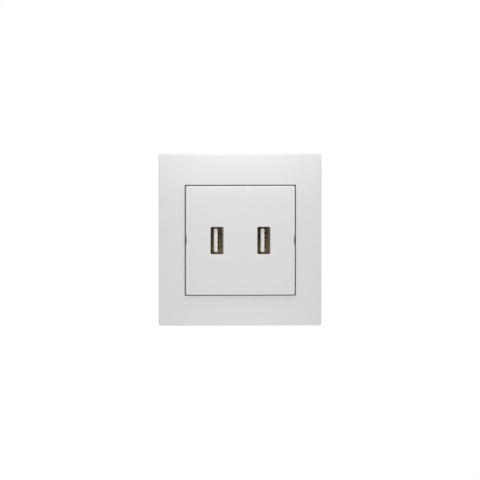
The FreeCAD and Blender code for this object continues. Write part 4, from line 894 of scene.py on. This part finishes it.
@dataclass
class CoverFrame:
    """Domed square cover with its mouth, ledge, collar feet and ribs."""

    wide: float = 80.0 * MM
    high: float = 84.6 * MM
    front: float = 9.6 * MM
    run: float = 21.0 * MM  # width of the band that falls to the edge
    drop: float = 2.0 * MM  # fall at the very edge
    wall: float = 1.9 * MM
    corner: float = 0.9 * MM
    edge: float = 0.5 * MM
    mouth: float = 54.6 * MM
    mouth_corner: float = 0.8 * MM
    mouth_edge: float = 0.35 * MM
    collar: float = 1.4 * MM
    foot: float = 1.2 * MM  # level where the ledge ends behind
    ledge: float = 3.0 * MM
    ledge_reach: float = 1.6 * MM
    gap_high: float = 3.6 * MM  # half the gap in the side ledges
    gap_front: float = 3.2 * MM  # level where the mouth's wall ends
    rib_spread: float = 18.0 * MM
    rib_wall: float = 1.2 * MM
    rib_back: float = 1.6 * MM
    rib_top: float = 5.6 * MM
    rib_sunk: float = 0.2 * MM
    overlap: float = 0.1 * MM
    cells: tuple[int, int] = (84, 88)
    rim_share: float = 0.985  # share of the half size where the rim begins
    rim_front: float = 4.0 * MM
    mouth_front: float = 8.5 * MM

    def level(self, x: float, z: float) -> float:
        """Height of the domed face in front of the wall."""
        return (self.front - bow(x, self.wide / 2, self.run, self.drop)
                - bow(z, self.high / 2, self.run, self.drop))

    def skin(self, shape: Shape) -> None:
        """Domed face with its mouth cut out, outer sides and collar.

        Args:
            shape: The mesh in work.
        """
        half = self.mouth / 2
        reach = CELL_MARGIN * self.wall
        shape.sheet(self.wide, self.high, *self.cells)
        for axis, rim in ((Axis.ACROSS, self.wide / 2), (Axis.UP, self.high / 2)):
            shape.cut(axis, -half, half)
            shape.gather(axis, rim, -reach)
            shape.gather(axis, half, reach)
        shape.drop(lambda c: abs(c.x) < half and abs(c.z) < half)
        for vert in shape.bm.verts:
            vert.co.y = -self.level(vert.co.x, vert.co.z)
        shape.wall(lambda c: abs(c.x) > self.wide / 2 - SAME or abs(c.z) > self.high / 2 - SAME,
                   0.0)
        shape.wall(lambda c: farthest(c) < half + SAME, self.gap_front)
        shape.thicken(self.wall)

    def edges(self, shape: Shape) -> None:
        """Round the corners and the two rims of the face.

        Args:
            shape: The mesh in work.
        """
        half = self.mouth / 2
        shape.soften(shape.upright(self.wide / 2, self.high / 2), self.corner, 5)
        shape.soften(shape.upright(half, half), self.mouth_corner, 4)
        shape.soften(shape.sharp(lambda c: c.y < -self.rim_front and max(
            abs(c.x) / (self.wide / 2), abs(c.z) / (self.high / 2)) > self.rim_share),
            self.edge, 4)
        shape.soften(shape.sharp(lambda c: c.y < -self.mouth_front
                                 and farthest(c) < half + BESIDE), self.mouth_edge, 3)

    def inside(self, shape: Shape) -> None:
        """Ledge for the plate, collar feet and the ribs behind the face.

        Args:
            shape: The mesh in work.
        """
        half, out = self.mouth / 2, self.mouth / 2 + self.collar
        lip, root = half - self.ledge_reach, out - self.rib_sunk
        bar = self.rib_wall / 2
        for flip in (-1, 1):
            low, high = span(flip, lip, out)
            shape.block((-out, -self.ledge, low), (out, -self.foot, high))
            outer_low, outer_high = span(flip, half, out)
            shape.block((-out, -self.gap_front - self.overlap, outer_low),
                        (out, -self.ledge + self.overlap, outer_high))
            up_low, up_high = span(flip, root, self.high / 2 - self.wall)
            x_low, x_high = span(flip, root, self.wide / 2 - self.wall)
            for side in (-1, 1):
                start, end = span(side, self.gap_high, lip + self.overlap)
                shape.block((low, -self.ledge, start), (high, -self.foot, end))
                at = side * self.rib_spread
                shape.block((at - bar, -self.rib_top, up_low), (at + bar, -self.rib_back, up_high))
                shape.block((x_low, -self.rib_top, at - bar), (x_high, -self.rib_back, at + bar))

    def build(self) -> bpy.types.Object:
        """Make the cover and let it stand for its node.

        Returns:
            The finished cover.
        """
        shape = Shape()
        self.skin(shape)
        self.edges(shape)
        self.inside(shape)
        made = shape.piece("cover_frame_shell", "housing", "frame_plastic")
        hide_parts("cover_frame")
        return made


@dataclass
class CentrePlate:
    """Plate with sloping margins, two port mouths, pry notches, skirt and hooks."""

    wide: float = 53.6 * MM
    front: float = 11.2 * MM
    drop: float = 0.4 * MM
    margin: float = 5.0 * MM
    blend: float = 1.2 * MM  # width over which the field turns into the margin
    field_corner: float = 4.0 * MM
    corner: float = 0.7 * MM
    edge: float = 0.5 * MM
    slab: float = 1.4 * MM
    back: float = 3.0 * MM  # level where the skirt ends
    port_spread: float = 23.0 * MM
    cut_wide: float = 6.3 * MM
    cut_high: float = 13.4 * MM
    cut_corner: float = 0.5 * MM
    cut_edge: float = 0.15 * MM
    cut_deep: float = 0.8 * MM  # depth of the mouths' sleeves
    pry_radius: float = 8.5 * MM
    pry_deep: float = 0.45 * MM
    pry_back: float = 7.4 * MM  # level behind which the sides have no notch
    pry_step: float = 0.05 * MM
    hook_side: float = 9.0 * MM
    hook_out: float = 17.4 * MM
    hook_wide: float = 6.0 * MM
    hook_thick: float = 1.4 * MM
    hook_catch: float = 0.9 * MM
    hook_depth: float = 0.6 * MM
    hook_seat: float = 1.4 * MM
    hook_tip: float = 0.08 * MM  # what is left of the barb at its tip
    hook_root: float = 1.2 * MM
    hook_sunk: float = 0.1 * MM
    cells: int = 72
    side_band: float = 1.0 * MM
    edge_band: float = 0.7 * MM
    edge_front: float = 10.0 * MM

    @property
    def cut_sides(self) -> tuple[float, float]:
        """Distances from the middle to the near and the far side of a port's mouth."""
        middle_line, half = self.port_spread / 2, self.cut_wide / 2
        return middle_line - half, middle_line + half

    def fall(self, x: float, z: float) -> float:
        """How far the margin has sloped back at a place.

        Args:
            x: Distance across from the middle.
            z: Distance up from the middle.

        Returns:
            The fall in metres.
        """
        reach = self.wide / 2 - self.margin - self.field_corner
        dx, dz = max(0.0, abs(x) - reach), max(0.0, abs(z) - reach)
        past = math.hypot(dx, dz) - self.field_corner
        if past <= 0.0:
            return 0.0
        slope = self.drop / (self.margin - self.blend / 2)
        if past < self.blend:
            return slope * past * past / (2 * self.blend)
        return slope * (past - self.blend / 2)

    def in_cut(self, spot: Vector, more: float = 0.0) -> bool:
        """Whether a place lies within a port's mouth grown by a little."""
        off = abs(abs(spot.x) - self.port_spread / 2)
        return off < self.cut_wide / 2 + more and abs(spot.z) < self.cut_high / 2 + more

    def skin(self, shape: Shape) -> None:
        """Sloped face with its mouths, notched sides, skirt and sleeves.

        Args:
            shape: The mesh in work.
        """
        near, far = self.cut_sides
        half, reach = self.wide / 2, CELL_MARGIN * self.slab
        shape.sheet(self.wide, self.wide, self.cells, self.cells)
        shape.cut(Axis.ACROSS, -far, -near, near, far)
        shape.cut(Axis.UP, -self.cut_high / 2, self.cut_high / 2)
        for axis in (Axis.ACROSS, Axis.UP):
            shape.gather(axis, half, -reach)
        shape.gather(Axis.ACROSS, near, -reach)
        shape.gather(Axis.ACROSS, far, reach)
        shape.gather(Axis.UP, self.cut_high / 2, reach)
        shape.drop(self.in_cut)
        centre = half - self.pry_deep + self.pry_radius
        for vert in shape.bm.verts:
            x, z = vert.co.x, vert.co.z
            vert.co.y = -(self.front - self.fall(x, z))
            if abs(abs(x) - half) < SAME and abs(z) < self.pry_radius:
                notch = centre - math.sqrt(self.pry_radius ** 2 - z * z)
                vert.co.x = math.copysign(min(half, notch), x)
        shape.wall(lambda c: farthest(c) > half - self.side_band, self.back)
        shape.cut(Axis.DEPTH, -self.pry_back, self.pry_step - self.pry_back)
        for vert in shape.bm.verts:
            at_side = abs(vert.co.x) > half - self.side_band and abs(vert.co.z) < self.pry_radius
            if at_side and vert.co.y > self.pry_step / 2 - self.pry_back:
                vert.co.x = math.copysign(half, vert.co.x)
        shape.wall(lambda c: self.in_cut(c, SAME), self.front - self.cut_deep)
        shape.thicken(self.slab)

    def edges(self, shape: Shape) -> None:
        """Round the corners, the outer rim and the mouths.

        Args:
            shape: The mesh in work.
        """
        half = self.wide / 2
        shape.soften(shape.upright(half, half), self.corner, 4)
        for place in self.cut_sides:
            shape.soften(shape.upright(place, self.cut_high / 2), self.cut_corner, 3)
        shape.soften(shape.sharp(lambda c: c.y < -self.edge_front
                                 and farthest(c) > half - self.edge_band), self.edge, 4)
        shape.soften(shape.sharp(lambda c: c.y < -self.front + BESIDE
                                 and self.in_cut(c, 5 * BESIDE)), self.cut_edge, 2)

    def hooks(self, shape: Shape) -> None:
        """Four legs behind the plate, each with a barbed toe.

        Args:
            shape: The mesh in work.
        """
        for across in (-1, 1):
            for up in (-1, 1):
                x, z = across * self.hook_side, up * self.hook_out
                left, right = x - self.hook_wide / 2, x + self.hook_wide / 2
                shape.block((left, -self.front + self.hook_root, z - self.hook_thick / 2),
                            (right, self.hook_depth, z + self.hook_thick / 2))
                outer = z + up * self.hook_thick / 2
                low, high = sorted((outer - up * self.hook_sunk, outer + up * self.hook_catch))
                toe = shape.block((left, -self.hook_seat, low), (right, self.hook_depth, high))
                for vert in toe:
                    if vert.co.y > 0 and abs(vert.co.z) > abs(outer) + SAME:
                        vert.co.z = outer + up * self.hook_tip

    def build(self) -> bpy.types.Object:
        """Make the plate and let it stand for its node.

        Returns:
            The finished plate.
        """
        shape = Shape()
        self.skin(shape)
        self.edges(shape)
        self.hooks(shape)
        made = shape.piece("centre_plate_skin", "housing", "plate_plastic")
        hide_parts("centre_plate")
        return made


@dataclass
class ThreadedScrew:
    """Screw whose head is the node's own and whose shank carries a real helix."""

    node: str
    across: float
    up: float
    start: float
    end: float
    head_front: bool
    crest: float = 1.5 * MM
    root: float = 1.2 * MM
    pitch: float = 0.5 * MM
    flanks: tuple[float, float] = (0.08, 0.92)
    tops: tuple[float, float] = (0.44, 0.56)
    steps: int = 20
    spare: int = 1  # turns past each end, trimmed away
    smooth: float = 28.0

    def head(self, shape: Shape) -> None:
        """Copy the node's head, merged, cut the plain shank away and close the cut.

        Args:
            shape: The mesh in work.
        """
        shape.bm.from_mesh(frame["nodes"][self.node].data)
        merge(shape.bm, SAME)
        trim(shape.bm, self.start if self.head_front else self.end, front=not self.head_front)

    def helix(self, shape: Shape) -> None:
        """Sweep one ridge of the thread round the shank, turn after turn.

        Args:
            shape: The mesh in work.
        """
        turns = round((self.end - self.start) / self.pitch) + 2 * self.spare
        first = self.start - self.spare * self.pitch
        rounds = bmesh.new()
        spots = [(self.root, 0.0), (self.root, self.flanks[0]), (self.crest, self.tops[0]),
                 (self.crest, self.tops[1]), (self.root, self.flanks[1]), (self.root, 1.0)]
        verts = [rounds.verts.new((self.across + r, first + share * self.pitch, self.up))
                 for r, share in spots]
        edges = [rounds.edges.new(pair) for pair in zip(verts, verts[1:])]
        bmesh.ops.spin(rounds, geom=verts + edges, cent=(self.across, 0.0, self.up),
                       axis=(0.0, 1.0, 0.0), dvec=(0.0, self.pitch / self.steps, 0.0),
                       angle=2 * math.pi * turns, steps=self.steps * turns)
        merge(rounds, 2 * SAME)
        trim(rounds, self.start, front=True)
        trim(rounds, self.end, front=False)
        bmesh.ops.recalc_face_normals(rounds, faces=rounds.faces[:])
        made = bpy.data.meshes.new("thread")
        rounds.to_mesh(made)
        rounds.free()
        shape.bm.from_mesh(made)
        bpy.data.meshes.remove(made)

    def build(self) -> bpy.types.Object:
        """Make the screw and let it stand for its node.

        Returns:
            The finished screw.
        """
        shape = Shape()
        self.head(shape)
        self.helix(shape)
        made = shape.piece(f"{self.node}_threaded", f"{self.node}_body", "screw_steel",
                           self.smooth)
        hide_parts(self.node)
        return made


@dataclass
class ScrewSet:
    """The four screws with threads, by their places in the shared frame."""

    claw_across: float = 26.7 * MM
    claw_start: float = -0.9 * MM
    claw_end: float = 14.0 * MM
    clamp_across: float = 9.0 * MM
    clamp_up: float = -15.5 * MM
    clamp_start: float = 11.45 * MM
    clamp_end: float = 18.5 * MM

    def build(self) -> None:
        """Make the claws' screws, headed in front, and the clamps', headed behind."""
        for side in Side:
            ThreadedScrew(f"claw_screw_{side.word}", side.value * self.claw_across, 0.0,
                          self.claw_start, self.claw_end, True).build()
        for pole in Pole:
            ThreadedScrew(f"terminal_screw_{pole.word}", pole.value * self.clamp_across,
                          self.clamp_up, self.clamp_start, self.clamp_end, False).build()


class CarriedNodes:
    """All CAD nodes, of which most keep their shape: each gets the finish of its slot."""

    def __init__(self) -> None:
        """Read from the record which slot each node has."""
        parts = frame["record"]["subparts"]
        self.slots = {part["node"]: part["material_slot"] for part in parts}

    def dress(self) -> None:
        """Give every node its material."""
        for node, made in frame["nodes"].items():
            finish = SLOT_FINISH[self.slots[node]].material()
            for slot in made.material_slots:
                slot.material = finish
        LOG.info("%d nodes dressed", len(frame["nodes"]))


@dataclass(frozen=True)
class Lamp:
    """Soft square lamp in front of the wall, above or below the part's middle."""

    name: str
    front: float
    up: float
    watts: float
    size: float = 0.06

    def build(self) -> bpy.types.Object:
        """Make the lamp, turned to graze the face.

        Returns:
            The lamp.
        """
        data = bpy.data.lights.new(self.name, "AREA")
        data.shape = "SQUARE"
        data.size = self.size
        data.energy = self.watts
        made = put_in_scene(self.name, data)
        made.location = (0.0, -self.front, self.up)
        made.rotation_euler = (0.0 if self.up > 0 else math.pi, 0.0, 0.0)
        made.visible_camera = False
        return made


@dataclass
class Studio:
    """Plain pale floor, soft light from above and the photograph's camera."""

    floor_level: float = -0.30
    floor_size: float = 12.0
    floor_back: float = 1.5
    floor_cells: int = 8
    paper: Colour = (0.90, 0.90, 0.90)
    paper_shade: Colour = (0.88, 0.88, 0.88)
    paper_cloud: float = 30 * MM
    ambient_up: float = 0.78
    ambient_down: float = 0.81
    horizon: float = 0.3
    lamps: tuple[Lamp, ...] = (Lamp("top_lamp", 0.072, 0.12, 0.062),
                               Lamp("low_lamp", 0.04, -0.09, 0.010))
    azimuth: float = -1.7
    elevation: float = 4.0
    aim: tuple[float, float] = (0.12 * MM, -0.51 * MM)
    distance: float = 3.0
    view_wide: float = 235.97 * MM  # width of the view at view_plane
    view_plane: float = 0.008  # metres in front of the wall
    sensor: float = 36.0
    clip: tuple[float, float] = (0.1, 20.0)

    def world(self) -> None:
        """White to the camera, mirrors and glass; even soft light to the rest."""
        world = bpy.data.worlds.new("studio")
        world.use_nodes = True
        bpy.context.scene.world = world
        graph = Graph(world.node_tree)
        seen = graph.node("ShaderNodeLightPath", output="Is Camera Ray")
        paths = seen.out.node
        for name in ("Is Glossy Ray", "Is Transmission Ray"):
            seen = seen + Sock(graph, paths.outputs[name])
        share = graph.node("ShaderNodeClamp", inputs={"Value": seen})
        up = graph.part(graph.node("ShaderNodeTexCoord", output="Generated"), Axis.UP)
        level = up.ramp(-self.horizon, self.horizon, self.ambient_down, self.ambient_up)
        soft, white = (graph.node("ShaderNodeBackground",
                                  inputs={"Color": (1, 1, 1, 1), "Strength": strength})
                       for strength in (level, 1.0))
        mixed = graph.node("ShaderNodeMixShader", inputs={0: share, 1: soft, 2: white})
        graph.node("ShaderNodeOutputWorld", inputs={"Surface": mixed})

    def floor(self) -> bpy.types.Object:
        """Pale matt floor, a socket's usual height below it and outside the photograph's view.

        Returns:
            The floor.
        """
        bm = bmesh.new()
        place = Matrix.Translation((0.0, self.floor_back - self.floor_size / 2, self.floor_level))
        bmesh.ops.create_grid(bm, x_segments=self.floor_cells, y_segments=self.floor_cells,
                              size=self.floor_size / 2, matrix=place)
        mesh = bpy.data.meshes.new("studio_floor")
        bm.to_mesh(mesh)
        bm.free()
        paper = bpy.data.materials.new("floor_paper")
        paper.use_nodes = True
        graph = Graph(paper.node_tree)
        tint = graph.blend(graph.noise(self.paper_cloud), self.paper, self.paper_shade)
        graph.surface(base_color=tint, roughness=0.85)
        mesh.materials.append(paper)
        made = put_in_scene("studio_floor", mesh)
        return made

    def camera(self) -> bpy.types.Object:
        """Long lens at the photograph's angle, framed as the photograph.

        Returns:
            The camera.
        """
        data = bpy.data.cameras.new("camera")
        data.sensor_width = self.sensor
        data.lens = self.sensor * (self.distance - self.view_plane) / self.view_wide
        data.clip_start, data.clip_end = self.clip
        made = put_in_scene("camera", data)
        turn = (Matrix.Rotation(math.radians(self.azimuth), 4, "Z")
                @ Matrix.Rotation(math.radians(90 - self.elevation), 4, "X"))
        made.matrix_world = turn @ Matrix.Translation((*self.aim, self.distance))
        bpy.context.scene.camera = made
        return made

    def build(self) -> None:
        """Set up everything round the part."""
        self.world()
        self.floor()
        for lamp in self.lamps:
            lamp.build()
        self.camera()
        bpy.context.scene.view_settings.view_transform = "Standard"
        LOG.info("studio ready")


def main() -> None:
    """Build the part's looks, sub-assembly by sub-assembly."""
    logging.basicConfig(level=logging.INFO, format="%(name)s: %(message)s")
    Studio().build()
    CoverFrame().build()
    CentrePlate().build()
    ScrewSet().build()
    CarriedNodes().dress()


if __name__ == "__main__":
    main()
